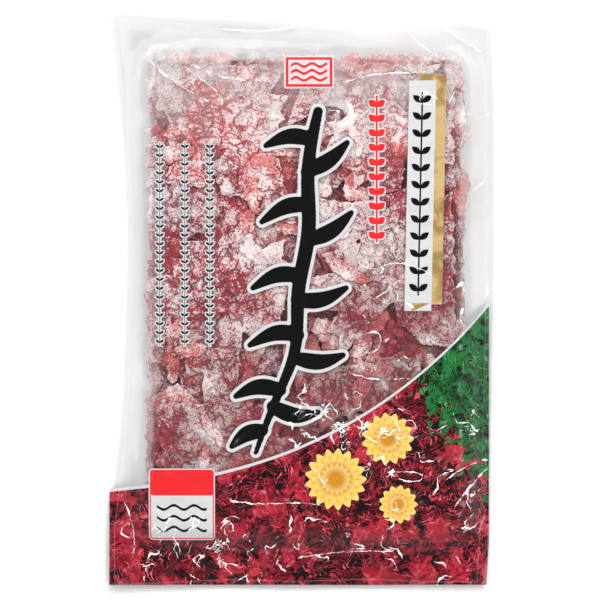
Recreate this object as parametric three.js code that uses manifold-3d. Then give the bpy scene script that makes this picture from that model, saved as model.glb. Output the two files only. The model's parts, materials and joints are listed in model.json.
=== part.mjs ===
// A flat clear-film packet of salt-preserved red tosaka seaweed, lying on its back.
// Millimetres, +Z up. X runs across the packet, Y along it to the top seal, and the origin
// is at the centre of the base. Two webs of film are heat-sealed all round a pressed block
// of twenty-four salted plants, laid in four layers, with caked salt in the hollows on top.
import * as THREE from "three";
import { mergeVertices } from "three/addons/utils/BufferGeometryUtils.js";
import Module from "manifold-3d";

const wasm = await Module();
wasm.setup();

// The packet's film: its outline, thickness and seals
const FILM = 0.5;
const SEAL_WIDTH = 5;
const SEAL_HEIGHT = 2.1;
// The packet's nominal width and length, by which the film's grid is spaced
const WIDTH = 200;
const LENGTH = 300;
// Waves of the seals across and along the packet: height, length over 2 pi and start
const SEAL_WAVES = { across: [0.7, 19, 0.6], along: [0.5, 24, 1.1] };
const LEFT_EDGE = [
  [-101.2, -153.5], [-101.8, -122], [-99, -99], [-93.5, -55], [-91.2, 0],
  [-91, 52], [-96, 108], [-102, 153.5],
];
const RIGHT_EDGE = [
  [97, -152], [99.2, -112], [100.8, -52], [102, 20], [101.8, 100], [101.2, 143.6],
];
const BOTTOM_EDGE = [
  [-101.2, -153.5], [-66, -152.2], [-36, -150.8], [0, -151.8], [33, -150.4],
  [50, -151.8], [97, -152],
];
const TOP_EDGE = [
  [-102, 153.5], [-76, 151.4], [-41, 148.4], [0, 145.8], [34, 141.4], [50, 141.4],
  [70, 143.8], [85, 146.4], [101.2, 143.6],
];
// Distances from the rim at which the film's grid has a line, closest where it bends
const SIDE_LINES = [0, 5, 9, 13, 17, 22, 30];
const END_LINES = [0, 5, 11, 17, 22, 27, 32, 40];
const MIDDLE_LINES_ACROSS = 3;
const MIDDLE_LINES_ALONG = 5;

// The pressed block of seaweed inside
const BLOCK = { x: 3, y: 3.6, halfWidth: 85.5, halfLength: 127, corner: 14 };
// Plants across and along each layer, from the lowest to the highest
const LAYOUTS = [[3, 2], [2, 3], [3, 2], [2, 3]];
// How far each layer's seams are moved along the block, so that the plants overlap like bricks
const COLUMN_SHIFTS = [5, -12, -5, -8];
const ROW_SHIFTS = [-14, 16, 12, 10];

// Heights in the block: each layer holds low blades and blades that are raised over them
const LAYERS = LAYOUTS.length;
const GAP = 0.3;
const BLADE = 1.7;
const RAISED = 0.8;
const LAYER_PITCH = BLADE + RAISED + GAP + 0.05;
const BASE = FILM + GAP;
const BLOCK_TOP = BASE + LAYERS * LAYER_PITCH - GAP;
const FILM_CLEARANCE = 0.9;
// How far inside the block's edge the film is at its full height, and how far outside it is down
const SHOULDER = 6;
const FOOT = 6;
// How fully the film is rounded from there: 1 is a straight slope
const ROUNDNESS = 2.2;
// Swells of the block's top: height, length over 2 pi along X and along Y, and start
const SWELLS = [[0.35, 21, 37, 0], [0.3, -47, 29, 2]];
// How far inside the block's edge each layer ends, from the lowest to the highest
const LAYER_INSETS = [1.2, 1, 2.2, 7];

// Seaweed plants: comb-shaped blades along a stalk, those on the faces of the block finely cut
const PLANT_SEED = 12000;
const BLADES = 4;
const SPREAD = 2.6;
const REACH = [46, 58];
const LEAN = [0.8, 1.4];
const FINE_LOBES = 4;
const COARSE_LOBES = 3;
// Shares of a blade's reach: its notches, its lobes' tips, one side of a tip and the fork in it
const NOTCH = [0.46, 0.7];
const TIP = [0.72, 1];
const TIP_SIDE = [0.88, 1];
const FORK = 0.82;
// Where a lobe's tip starts, forks and ends, as shares of the lobe's angle
const TIP_START = 0.28;
const TIP_MIDDLE = 0.5;
const TIP_END = 0.78;
// A blade's root: how far it reaches back over the stalk, and half its angle there
const ROOT = 4;
const ROOT_ANGLE = 0.6;
// A stalk's width and lengths, its ends' and its bend's shares of the length, and its blades' places
const STALK_WIDTH = 6;
const SHORT_STALK = 56;
const LONG_STALK = 84;
const STALK_HEAD = 0.54;
const STALK_TAIL = 0.46;
const STALK_BEND = 0.2;
const STALK_BEND_TURN = [1, 2];
const LONG_TURN = 0.45 * Math.PI;
const FIRST_BLADE = 0.1;
const LAST_BLADE = 0.98;
// The seams between neighbouring plants wander, and the block's cut edge runs in and out
const SEAM_GAP = 0.5;
const SEAM_WANDER = 5;
const SEAM_WAVE = 14;
const SEAM_STEP = 6;
const EDGE_CUT = 2.6;
const EDGE_CUT_SHARE = [0.5, 1];
const PULL_STEP = 0.03;

// Caked salt, which fills hollows between the topmost plants
const DRIFTS = 6;
const DRIFT_SEED = 61;
const SALT_SEED = 62;
const DRIFT_LENGTH = 30;
const DRIFT_WIDTH = 12;
const DRIFT_POINTS = 10;
const DRIFT_SHARE = [0.75, 1];
// The drifts stand by turns left and right of the block's middle, scattered along X
const DRIFT_LEFT = -36;
const DRIFT_RIGHT = 38;
const DRIFT_SCATTER = 22;
const DRIFT_ROOM = 3 * GAP;
// A drift is a low mound with a crown on it, which starts below the mound's top
const MOUND_HEIGHT = 0.9;
const CROWN_START = 0.5;
const CROWN_HEIGHT = 1.4;
const CROWN_INSET = 2.5;
const GRAINS_PER_DRIFT = 7;
const GRAIN = 1.6;
const GRAIN_HEIGHT = 1.2;
const GRAIN_ROW = 0.72;
const GRAIN_SCATTER = 2.5;
const GRAIN_TILT = 1;
const GRAIN_TURN = 3;

const MATERIALS = {
  film: new THREE.MeshStandardMaterial({
    color: 0xf1f0ee, roughness: 0.12, metalness: 0, transparent: true, opacity: 0.3,
  }),
  crimson: new THREE.MeshStandardMaterial({ color: 0xb3394a, roughness: 0.6, metalness: 0 }),
  coral: new THREE.MeshStandardMaterial({ color: 0xcc6a63, roughness: 0.6, metalness: 0 }),
  maroon: new THREE.MeshStandardMaterial({ color: 0x7d2a3b, roughness: 0.6, metalness: 0 }),
  salt: new THREE.MeshStandardMaterial({ color: 0xf0ebe8, roughness: 0.8, metalness: 0 }),
};

// Seeded random draws from 0 to 1
function randomDraws(seed) {
  let state = seed;
  return () => {
    state = (state + 0x6d2b79f5) | 0;
    let mixed = Math.imul(state ^ (state >>> 15), 1 | state);
    mixed = (mixed + Math.imul(mixed ^ (mixed >>> 7), 61 | mixed)) ^ mixed;
    return ((mixed ^ (mixed >>> 14)) >>> 0) / 4294967296;
  };
}

const between = (draw, low, high) => low + (high - low) * draw();

// A closed geometry as a solid that can be joined, and back
function solidOf(geometry) {
  const plain = new THREE.BufferGeometry();
  plain.setAttribute("position", geometry.getAttribute("position"));
  plain.setIndex(geometry.index);
  const merged = mergeVertices(plain, 1e-4);
  return new wasm.Manifold(
    new wasm.Mesh({
      numProp: 3,
      vertProperties: merged.attributes.position.array,
      triVerts: new Uint32Array(merged.index.array),
    }),
  );
}

function geometryOf(solid) {
  const { vertProperties, triVerts, numProp } = solid.getMesh();
  const points = new Float32Array((vertProperties.length / numProp) * 3);
  for (let i = 0; i * 3 < points.length; i++) {
    points.set(vertProperties.subarray(i * numProp, i * numProp + 3), i * 3);
  }
  return new THREE.BufferGeometry()
    .setAttribute("position", new THREE.BufferAttribute(points, 3))
    .setIndex(new THREE.BufferAttribute(triVerts, 1));
}

// A flat outline made solid between two heights
function slab(outline, low, high) {
  const geometry = new THREE.ExtrudeGeometry(new THREE.Shape(outline), {
    depth: high - low,
    bevelEnabled: false,
  });
  return solidOf(geometry.translate(0, 0, low));
}

// How far a point is inside the block's rounded outline, less than 0 outside it
function insideBlock(x, y) {
  const dx = Math.abs(x - BLOCK.x) - (BLOCK.halfWidth - BLOCK.corner);
  const dy = Math.abs(y - BLOCK.y) - (BLOCK.halfLength - BLOCK.corner);
  const outside = Math.hypot(Math.max(dx, 0), Math.max(dy, 0));
  return BLOCK.corner - outside - Math.min(Math.max(dx, dy), 0);
}

// The film: one grid of points over the packet's outline, each with its distance from the rim

const curve = (points) => new THREE.SplineCurve(points.map(([x, y]) => new THREE.Vector2(x, y)));
const EDGES = {
  left: curve(LEFT_EDGE),
  right: curve(RIGHT_EDGE),
  bottom: curve(BOTTOM_EDGE),
  top: curve(TOP_EDGE),
};

function gridLines(rimLines, length, middleLines) {
  const start = rimLines.map((d) => d / length);
  const last = start[start.length - 1];
  const middle = [];
  for (let i = 1; i <= middleLines; i++) {
    middle.push(last + ((1 - 2 * last) * i) / (middleLines + 1));
  }
  return [...start, ...middle, ...start.map((s) => 1 - s).reverse()];
}

function packetPoint(u, v) {
  const left = EDGES.left.getPointAt(v);
  const right = EDGES.right.getPointAt(v);
  const bottom = EDGES.bottom.getPointAt(u);
  const top = EDGES.top.getPointAt(u);
  const corner = (edge, end) => edge.getPointAt(end);
  const blend = (axis) =>
    (1 - u) * left[axis] + u * right[axis] + (1 - v) * bottom[axis] + v * top[axis] -
    (1 - u) * (1 - v) * corner(EDGES.bottom, 0)[axis] - u * (1 - v) * corner(EDGES.bottom, 1)[axis] -
    (1 - u) * v * corner(EDGES.top, 0)[axis] - u * v * corner(EDGES.top, 1)[axis];
  const point = new THREE.Vector2(blend("x"), blend("y"));
  const rim = Math.min(...[left, right, bottom, top].map((edge) => point.distanceTo(edge)));
  return { x: point.x, y: point.y, rim };
}

// Height of the seal's mid-plane, which waves a little above the surface that the packet lies on
function sealHeight(x, y) {
  const wave = ([height, length, start], at) => height * Math.sin(at / length + start);
  return SEAL_HEIGHT + wave(SEAL_WAVES.across, x) + wave(SEAL_WAVES.along, y);
}

// The share of its full rise that a web has reached, from 0 at the seal to 1 over or under the block
function rise({ x, y, rim }, shoulder) {
  const out = Math.max(0, shoulder - insideBlock(x, y));
  const room = Math.min(shoulder + FOOT, Math.max(0, rim - SEAL_WIDTH) + out);
  return room > 0 ? 1 - Math.min(out / room, 1) ** ROUNDNESS : 1;
}

// The block's top swells and dips a little, and less so towards its flat base
function swell(x, y) {
  return SWELLS.reduce(
    (sum, [height, across, along, start]) => sum + height * Math.sin(x / across + y / along + start),
    0,
  );
}

// Undersides of the two webs. They meet in the seal.
function frontUnderside(point) {
  const seal = sealHeight(point.x, point.y);
  const top = BLOCK_TOP + FILM_CLEARANCE + swell(point.x, point.y);
  return seal + (top - seal) * rise(point, SHOULDER);
}

function backUnderside(point) {
  return (sealHeight(point.x, point.y) - FILM) * (1 - rise(point, 0));
}

function web(underside) {
  const across = gridLines(SIDE_LINES, WIDTH, MIDDLE_LINES_ACROSS);
  const along = gridLines(END_LINES, LENGTH, MIDDLE_LINES_ALONG);
  const width = across.length;
  const points = along.flatMap((v) => across.map((u) => packetPoint(u, v)));
  const heights = points.map(underside);
  const positions = [0, FILM].flatMap((lift) =>
    points.flatMap(({ x, y }, i) => [x, y, heights[i] + lift]),
  );
  const faces = [];
  const quad = (a, b, c, d) => faces.push(a, b, c, a, c, d);
  const upper = points.length;
  for (let j = 0; j + 1 < along.length; j++) {
    for (let i = 0; i + 1 < width; i++) {
      const a = j * width + i;
      const [b, c, d] = [a + 1, a + width + 1, a + width];
      faces.push(a, c, b, a, d, c);
      quad(upper + a, upper + b, upper + c, upper + d);
    }
  }
  const rim = [];
  for (let i = 0; i < width - 1; i++) rim.push(i);
  for (let j = 0; j < along.length - 1; j++) rim.push(j * width + width - 1);
  for (let i = width - 1; i > 0; i--) rim.push((along.length - 1) * width + i);
  for (let j = along.length - 1; j > 0; j--) rim.push(j * width);
  rim.forEach((a, k) => {
    const b = rim[(k + 1) % rim.length];
    quad(a, b, upper + b, upper + a);
  });
  return new THREE.BufferGeometry()
    .setAttribute("position", new THREE.BufferAttribute(new Float32Array(positions), 3))
    .setIndex(faces);
}

// The seaweed: each layer is shared out between plants, whose cells have wandering seams

const pointAt = (centre, angle, radius) =>
  new THREE.Vector2(Math.cos(angle), Math.sin(angle)).multiplyScalar(radius).add(centre);

// A point pulled back towards a centre until it is far enough inside the block
function keepInside(centre, point, inset) {
  const kept = point.clone();
  while (insideBlock(kept.x, kept.y) < inset) kept.lerp(centre, PULL_STEP);
  return kept;
}

function wander(layer, { x, y }) {
  return new THREE.Vector2(
    x + SEAM_WANDER * Math.sin(y / SEAM_WAVE + 2 * layer),
    y + SEAM_WANDER * Math.sin(x / SEAM_WAVE + 3 * layer),
  );
}

// The straight-sided cell of a plant, before its seams wander
function plantCell(layer, column, row) {
  const [columns, rows] = LAYOUTS[layer];
  const seam = (middle, half, i, count, shift) => {
    const outermost = i === 0 || i === count;
    const reach = outermost ? half + 2 * SEAM_WANDER : half;
    return middle + reach * ((2 * i) / count - 1) + (outermost ? 0 : shift);
  };
  const seamX = (i) => seam(BLOCK.x, BLOCK.halfWidth, i, columns, COLUMN_SHIFTS[layer]);
  const seamY = (i) =>
    seam(BLOCK.y, BLOCK.halfLength, i, rows, ROW_SHIFTS[layer] * (column % 2 ? 1 : -1));
  return { left: seamX(column), right: seamX(column + 1), low: seamY(row), high: seamY(row + 1) };
}

function cellCentre(cell) {
  const middle = (start, end, centre, half) =>
    (Math.max(start, centre - half) + Math.min(end, centre + half)) / 2;
  return new THREE.Vector2(
    middle(cell.left, cell.right, BLOCK.x, BLOCK.halfWidth),
    middle(cell.low, cell.high, BLOCK.y, BLOCK.halfLength),
  );
}

function cellOutline(draw, layer, cell) {
  const centre = cellCentre(cell);
  const half = SEAM_GAP / 2;
  const corners = [
    [cell.left + half, cell.low + half], [cell.right - half, cell.low + half],
    [cell.right - half, cell.high - half], [cell.left + half, cell.high - half],
  ].map(([x, y]) => new THREE.Vector2(x, y));
  const outline = [];
  corners.forEach((corner, i) => {
    const next = corners[(i + 1) % 4];
    const steps = Math.ceil(corner.distanceTo(next) / SEAM_STEP);
    for (let k = 0; k < steps; k++) {
      const point = wander(layer, corner.clone().lerp(next, k / steps));
      const atEdge = insideBlock(point.x, point.y) < LAYER_INSETS[layer] + EDGE_CUT;
      const cut = atEdge ? (outline.length % 2) * EDGE_CUT * between(draw, ...EDGE_CUT_SHARE) : 0;
      outline.push(keepInside(centre, point, LAYER_INSETS[layer] + cut));
    }
  });
  return outline;
}

// A comb-shaped blade: a fan of lobes round its root, each forked at its tip if it is finely cut
function bladeOutline(draw, root, heading, reach, fine) {
  const lobes = fine ? FINE_LOBES : COARSE_LOBES;
  const step = SPREAD / lobes;
  const back = heading + Math.PI;
  const outline = [pointAt(root, back - ROOT_ANGLE, ROOT), pointAt(root, back + ROOT_ANGLE, ROOT)];
  for (let lobe = 0; lobe < lobes; lobe++) {
    const start = heading - SPREAD / 2 + lobe * step;
    const tip = reach * between(draw, ...TIP);
    outline.push(pointAt(root, start, reach * between(draw, ...NOTCH)));
    outline.push(pointAt(root, start + TIP_START * step, tip * between(draw, ...TIP_SIDE)));
    if (fine) outline.push(pointAt(root, start + TIP_MIDDLE * step, tip * FORK));
    outline.push(pointAt(root, start + TIP_END * step, tip));
  }
  return outline;
}

// A bent stalk. In a tall cell it stands nearly upright and leans by turns to either side.
function stalkCurve(draw, centre, tall, column) {
  const upright = LONG_TURN * (column % 2 ? 1 : -1);
  const turn = tall ? upright : between(draw, 0, 2 * Math.PI);
  const length = tall ? LONG_STALK : SHORT_STALK;
  return new THREE.QuadraticBezierCurve(
    pointAt(centre, turn, STALK_HEAD * length),
    pointAt(centre, turn + between(draw, ...STALK_BEND_TURN), STALK_BEND * length),
    pointAt(centre, turn + Math.PI, STALK_TAIL * length),
  );
}

function stalkOutline(stalk) {
  const side = (sign) =>
    [0, 0.5, 1].map((t) => {
      const along = stalk.getTangent(t);
      const across = new THREE.Vector2(-along.y, along.x);
      return stalk.getPoint(t).addScaledVector(across, (sign * STALK_WIDTH) / 2);
    });
  return [...side(-1), ...side(1).reverse()];
}

function largestBody(solid) {
  return solid.decompose().reduce((most, body) => (body.volume() > most.volume() ? body : most));
}

// Moves every point up with the block's swell at its height
function swollen(geometry) {
  const points = geometry.getAttribute("position");
  for (let i = 0; i < points.count; i++) {
    const [x, y, z] = [points.getX(i), points.getY(i), points.getZ(i)];
    points.setZ(i, z + (swell(x, y) * Math.max(z - BASE, 0)) / (BLOCK_TOP - BASE));
  }
  return geometry;
}

function plant(seed, layer, column, row, hollows) {
  const draw = randomDraws(seed);
  const cell = plantCell(layer, column, row);
  const centre = cellCentre(cell);
  const onFace = layer === 0 || layer === LAYERS - 1;
  const floor = BASE + layer * LAYER_PITCH;
  const tall = LAYOUTS[layer][1] === 2;
  const stalk = stalkCurve(draw, centre, tall, column);
  const pieces = [slab(stalkOutline(stalk), floor, floor + BLADE + RAISED)];
  for (let i = 0; i < BLADES; i++) {
    const t = FIRST_BLADE + ((LAST_BLADE - FIRST_BLADE) * i) / (BLADES - 1);
    const along = stalk.getTangent(t);
    const lean = i < BLADES - 1 ? (i % 2 ? 1 : -1) * between(draw, ...LEAN) : 0;
    const heading = Math.atan2(along.y, along.x) + lean;
    const reach = between(draw, ...REACH);
    const lift = ((i + layer) % 2) * RAISED;
    const outline = bladeOutline(draw, stalk.getPoint(t), heading, reach, onFace);
    pieces.push(slab(outline, floor + lift, floor + lift + BLADE));
  }
  const room = slab(cellOutline(draw, layer, cell), floor - 1, floor + LAYER_PITCH);
  let body = wasm.Manifold.union(pieces).intersect(room);
  if (layer === LAYERS - 1) {
    for (const hollow of hollows) {
      body = body.subtract(slab(hollow.map((point) => point.room), floor - 1, floor + LAYER_PITCH));
    }
  }
  return swollen(geometryOf(largestBody(body)));
}

// Caked salt: a long low mound in a hollow between the topmost plants, set with coarse grains
function driftPlaces() {
  const draw = randomDraws(DRIFT_SEED);
  return Array.from({ length: DRIFTS }, (_, i) => ({
    x: BLOCK.x + (i % 2 ? DRIFT_RIGHT : DRIFT_LEFT) + between(draw, -DRIFT_SCATTER, DRIFT_SCATTER),
    y: BLOCK.y - BLOCK.halfLength + ((i + 0.5) * 2 * BLOCK.halfLength) / DRIFTS,
    turn: between(draw, 0, Math.PI),
  }));
}

function driftOutline(draw, place) {
  const outline = [];
  for (let i = 0; i < DRIFT_POINTS; i++) {
    const angle = (i / DRIFT_POINTS) * 2 * Math.PI;
    const share = between(draw, ...DRIFT_SHARE);
    const at = (grow) =>
      new THREE.Vector2(
        Math.cos(angle) * (share * DRIFT_LENGTH / 2 + grow),
        Math.sin(angle) * (share * DRIFT_WIDTH / 2 + grow),
      ).rotateAround(new THREE.Vector2(), place.turn).add(new THREE.Vector2(place.x, place.y));
    outline.push({ salt: at(0), crown: at(-CROWN_INSET), room: at(DRIFT_ROOM) });
  }
  return outline;
}

function saltDrift(draw, place, outline) {
  const floor = BASE + (LAYERS - 1) * LAYER_PITCH;
  const pieces = [
    slab(outline.map((point) => point.salt), floor, floor + MOUND_HEIGHT),
    slab(outline.map((point) => point.crown), floor + CROWN_START, floor + CROWN_HEIGHT),
  ];
  for (let i = 0; i < GRAINS_PER_DRIFT; i++) {
    const share = (i + 0.5) / GRAINS_PER_DRIFT;
    const grain = new THREE.BoxGeometry(GRAIN, GRAIN, GRAIN);
    const tilts = [GRAIN_TILT, GRAIN_TILT, GRAIN_TURN].map((most) => between(draw, 0, most));
    grain.applyMatrix4(new THREE.Matrix4().makeRotationFromEuler(new THREE.Euler(...tilts)));
    const along = (share - 0.5) * GRAIN_ROW * DRIFT_LENGTH;
    const at = new THREE.Vector2(along, between(draw, -GRAIN_SCATTER, GRAIN_SCATTER))
      .rotateAround(new THREE.Vector2(), place.turn);
    grain.translate(place.x + at.x, place.y + at.y, floor + GRAIN_HEIGHT);
    pieces.push(solidOf(grain));
  }
  return swollen(geometryOf(wasm.Manifold.union(pieces)));
}

const packet = new THREE.Group();

function addPiece(name, geometry, material) {
  const mesh = new THREE.Mesh(geometry, material);
  mesh.name = name;
  packet.add(mesh);
}

addPiece("film_back", web(backUnderside), MATERIALS.film);
addPiece("film_front", web(frontUnderside), MATERIALS.film);

const saltDraw = randomDraws(SALT_SEED);
const places = driftPlaces();
const hollows = places.map((place) => driftOutline(saltDraw, place));
const SHADES = [MATERIALS.coral, MATERIALS.crimson, MATERIALS.maroon];
for (let layer = 0; layer < LAYERS; layer++) {
  const [columns, rows] = LAYOUTS[layer];
  for (let column = 0; column < columns; column++) {
    for (let row = 0; row < rows; row++) {
      const number = column * rows + row + 1;
      const geometry = plant(PLANT_SEED + 100 * (layer + 1) + number, layer, column, row, hollows);
      addPiece(`plant_${layer + 1}_${number}`, geometry, SHADES[(layer + number) % SHADES.length]);
    }
  }
}
places.forEach((place, i) => {
  addPiece(`salt_drift_${i + 1}`, saltDrift(saltDraw, place, hollows[i]), MATERIALS.salt);
});

export default packet;
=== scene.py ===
# %% [markdown]
# # A packet of salted red tosaka seaweed
# Red tosaka is a comb-shaped red seaweed. It is sold salted and pressed flat, in a clear
# printed film packet that lies on its back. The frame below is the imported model, in metres.
# It gives every piece its place, and the cells after it give each piece its fine form and
# its finish.

# %% Load the frame
import json
import math
import random

import bmesh
import bpy
import numpy as np
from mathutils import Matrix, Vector
from mathutils.bvhtree import BVHTree


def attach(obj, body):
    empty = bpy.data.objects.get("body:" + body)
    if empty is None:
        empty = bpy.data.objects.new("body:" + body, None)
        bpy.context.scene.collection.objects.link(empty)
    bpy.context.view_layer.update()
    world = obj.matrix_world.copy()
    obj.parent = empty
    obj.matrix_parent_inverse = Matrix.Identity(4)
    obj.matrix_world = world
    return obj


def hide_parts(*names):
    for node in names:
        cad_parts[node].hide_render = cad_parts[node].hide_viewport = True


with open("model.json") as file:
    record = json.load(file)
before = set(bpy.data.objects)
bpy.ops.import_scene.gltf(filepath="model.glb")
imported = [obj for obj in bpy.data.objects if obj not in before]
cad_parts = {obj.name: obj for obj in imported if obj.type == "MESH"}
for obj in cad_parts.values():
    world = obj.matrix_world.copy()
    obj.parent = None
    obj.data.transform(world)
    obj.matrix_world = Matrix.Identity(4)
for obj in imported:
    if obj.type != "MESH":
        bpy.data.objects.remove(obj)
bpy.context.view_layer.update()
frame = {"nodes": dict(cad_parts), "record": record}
MM = 0.001

# %% [markdown]
# ## Stage, camera and light
# The packet is seen from straight above through a long lens, so that its sides stay parallel.
# The film is glossy. The small light that stands low on the right is mirrored only by its steep
# wrinkles, which then glint as thin white lines; more thin white glints are painted on the film
# along its creases. The two broad lights are hidden from mirrors, or they would lie on the
# film's shoulders as white bands. The sky is dimmer right overhead, because that is what the
# flat film mirrors: so the ink stays black and the film clear.

# %% The camera and how the picture's pixels lie on the packet
PIXEL = 0.52 * MM
PICTURE_MIDDLE = 300
CAMERA_HEIGHT = 2.0
MIDDLE_HEIGHT = 8 * MM


def from_pixel(column, row):
    return (column - PICTURE_MIDDLE) * PIXEL, (PICTURE_MIDDLE - row) * PIXEL


camera_data = bpy.data.cameras.new("camera")
camera = bpy.data.objects.new("camera", camera_data)
bpy.context.scene.collection.objects.link(camera)
camera.location = (0, 0, CAMERA_HEIGHT)
seen_width = 2 * PICTURE_MIDDLE * PIXEL
camera_data.lens = camera_data.sensor_width * (CAMERA_HEIGHT - MIDDLE_HEIGHT) / seen_width
camera_data.clip_end = 20
bpy.context.scene.camera = camera
bpy.context.scene.view_settings.view_transform = "Standard"
print("lens, mm:", round(camera_data.lens, 1))

# %% Lights, sky and floor
SKY = 0.9
SKY_OVERHEAD = 0.25
SIDE_LIGHTS = {
    "light_left": ((-0.85, 0.75, 1.15), 1.2, 11, False),
    "light_right": ((0.9, -0.45, 1.2), 0.4, 6.5, True),
    "light_top": ((0.1, 1.1, 1.1), 1.5, 17, False),
}


def add_light(name, place, size, power, mirrored):
    light = bpy.data.lights.new(name, "AREA")
    light.size = size
    light.energy = power
    lamp = bpy.data.objects.new(name, light)
    lamp.location = place
    lamp.rotation_euler = (-Vector(place)).to_track_quat("-Z", "Y").to_euler()
    lamp.visible_camera = False
    lamp.visible_glossy = mirrored
    bpy.context.scene.collection.objects.link(lamp)


for name, settings in SIDE_LIGHTS.items():
    add_light(name, *settings)

world = bpy.data.worlds.new("sky")
world.use_nodes = True
background = world.node_tree.nodes["Background"]
background.inputs["Color"].default_value = (1, 1, 1, 1)
direction = world.node_tree.nodes.new("ShaderNodeTexCoord")
upward = world.node_tree.nodes.new("ShaderNodeSeparateXYZ")
dimmer = world.node_tree.nodes.new("ShaderNodeMapRange")
dimmer.interpolation_type = "SMOOTHSTEP"
for key, value in {"From Min": 0.84, "From Max": 0.96, "To Min": SKY, "To Max": SKY_OVERHEAD}.items():
    dimmer.inputs[key].default_value = value
world.node_tree.links.new(direction.outputs["Generated"], upward.inputs[0])
world.node_tree.links.new(upward.outputs["Z"], dimmer.inputs["Value"])
world.node_tree.links.new(dimmer.outputs[0], background.inputs["Strength"])
bpy.context.scene.world = world

bpy.ops.object.select_all(action="DESELECT")
bpy.ops.mesh.primitive_plane_add(size=8, location=(0, 0, -0.0002))
floor = bpy.context.object
floor.name = "floor"
print("lights:", ", ".join(SIDE_LIGHTS))

# %% [markdown]
# ## Arithmetic on a material's sockets
# A finish is a sum of masks. Written out as nodes, such a sum is long and hard to read. The
# class below wraps one output socket, so that `1 - mask` or `mask * 0.3` adds the Math node
# by itself. Every other node comes from one method, `Finish.node`.

# %% A socket that can be reckoned with, and a finish that makes nodes


class Wire:
    """An output socket of a finish. Arithmetic on it adds Math nodes."""

    def __init__(self, finish, socket):
        self.finish = finish
        self.socket = socket

    def math(self, operation, *values):
        return self.finish.math(operation, self, *values)

    def __add__(self, other):
        return self.math("ADD", other)

    def __sub__(self, other):
        return self.math("SUBTRACT", other)

    def __rsub__(self, other):
        return self.finish.math("SUBTRACT", other, self)

    def __mul__(self, other):
        return self.math("MULTIPLY", other)

    def __truediv__(self, other):
        return self.math("DIVIDE", other)

    def __rtruediv__(self, other):
        return self.finish.math("DIVIDE", other, self)

    def __pow__(self, other):
        return self.math("POWER", other)

    def __neg__(self):
        return self * -1

    def __abs__(self):
        return self.math("ABSOLUTE")

    __radd__ = __add__
    __rmul__ = __mul__

    def least(self, other):
        return self.math("MINIMUM", other)

    def most(self, other):
        return self.math("MAXIMUM", other)

    def ramp(self, low, high):
        """0 below low, 1 above high and smooth between. With low above high it falls."""
        settings = {"interpolation_type": "SMOOTHSTEP"}
        values = {"Value": self, "From Min": low, "From Max": high}
        if low > high:
            values.update({"From Min": high, "From Max": low, "To Min": 1.0, "To Max": 0.0})
        return self.finish.node("ShaderNodeMapRange", settings, values)


class Finish:
    """A material whose nodes are made by node()."""

    def __init__(self, name):
        self.material = bpy.data.materials.new(name)
        self.material.use_nodes = True
        self.tree = self.material.node_tree
        self.tree.nodes.clear()

    def node(self, kind, settings=None, values=None, out=0):
        made = self.tree.nodes.new(kind)
        for key, setting in (settings or {}).items():
            if key == "stops":
                self.set_stops(made.color_ramp, setting)
            else:
                setattr(made, key, setting)
        for key, value in (values or {}).items():
            socket = made.inputs[key]
            if isinstance(value, Wire):
                self.tree.links.new(value.socket, socket)
            else:
                socket.default_value = value
        return Wire(self, made.outputs[out]) if made.outputs else made

    @staticmethod
    def set_stops(ramp, stops):
        while len(ramp.elements) < len(stops):
            ramp.elements.new(0.5)
        for element, (place, color) in zip(ramp.elements, stops):
            element.position = place
            element.color = (*color, 1)

    def math(self, operation, *values):
        return self.node("ShaderNodeMath", {"operation": operation}, dict(enumerate(values)))

    def blend(self, mask, low, high):
        """The colour low where mask is 0 and high where it is 1."""
        low, high = ((*c, 1) if isinstance(c, tuple) else c for c in (low, high))
        values = {"Factor": mask, 6: low, 7: high}
        return self.node("ShaderNodeMix", {"data_type": "RGBA"}, values, out=2)

    def place(self):
        """The point in object coordinates, in mm, as a vector and as x, y and z."""
        place = self.node("ShaderNodeTexCoord", out="Object")
        scaled = self.node(
            "ShaderNodeVectorMath", {"operation": "SCALE"}, {0: place, "Scale": 1 / MM}
        )
        axes = self.node("ShaderNodeSeparateXYZ", {}, {0: scaled})
        outputs = axes.socket.node.outputs
        return scaled, Wire(self, outputs[0]), Wire(self, outputs[1]), Wire(self, outputs[2])

    def noise(self, place, size, detail=2.0, warp=0.0, out="Fac"):
        """Noise whose lumps are size mm across."""
        values = {"Vector": place, "Scale": 1 / size, "Detail": detail, "Distortion": warp}
        return self.node("ShaderNodeTexNoise", {}, values, out=out)

    def joined(self, x, y, z=0.0):
        return self.node("ShaderNodeCombineXYZ", {}, {0: x, 1: y, 2: z})

    def moved(self, place, shift):
        return self.node("ShaderNodeVectorMath", {"operation": "ADD"}, {0: place, 1: shift})

    def out(self, shader):
        self.node("ShaderNodeOutputMaterial", {}, {"Surface": shader})
        return self.material

# %% [markdown]
# ## The two webs of film
# The real film is a sheet under a tenth of a millimetre thick, pulled tight over the block and
# heat-sealed all round. A grid is laid over each packed web, edge to edge, and dropped onto it,
# so the fine film has the outline and the dome of the solid. Then come the creases, because
# they are what makes film look like film.

# %% Tools for sheets: the outline of a packed web, and a grid laid over it


def select_only(piece):
    bpy.ops.object.select_all(action="DESELECT")
    piece.select_set(True)
    bpy.context.view_layer.objects.active = piece


def facing_sheet(node, side):
    """The faces of a packed web that look up (side 1) or down (side -1), as one mesh."""
    sheet = bmesh.new()
    sheet.from_mesh(frame["nodes"][node].data)
    bmesh.ops.remove_doubles(sheet, verts=sheet.verts, dist=0.01 * MM)
    sheet.normal_update()
    away = [face for face in sheet.faces if face.normal.z * side < 0.05]
    bmesh.ops.delete(sheet, geom=away, context="FACES")
    return sheet


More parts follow.
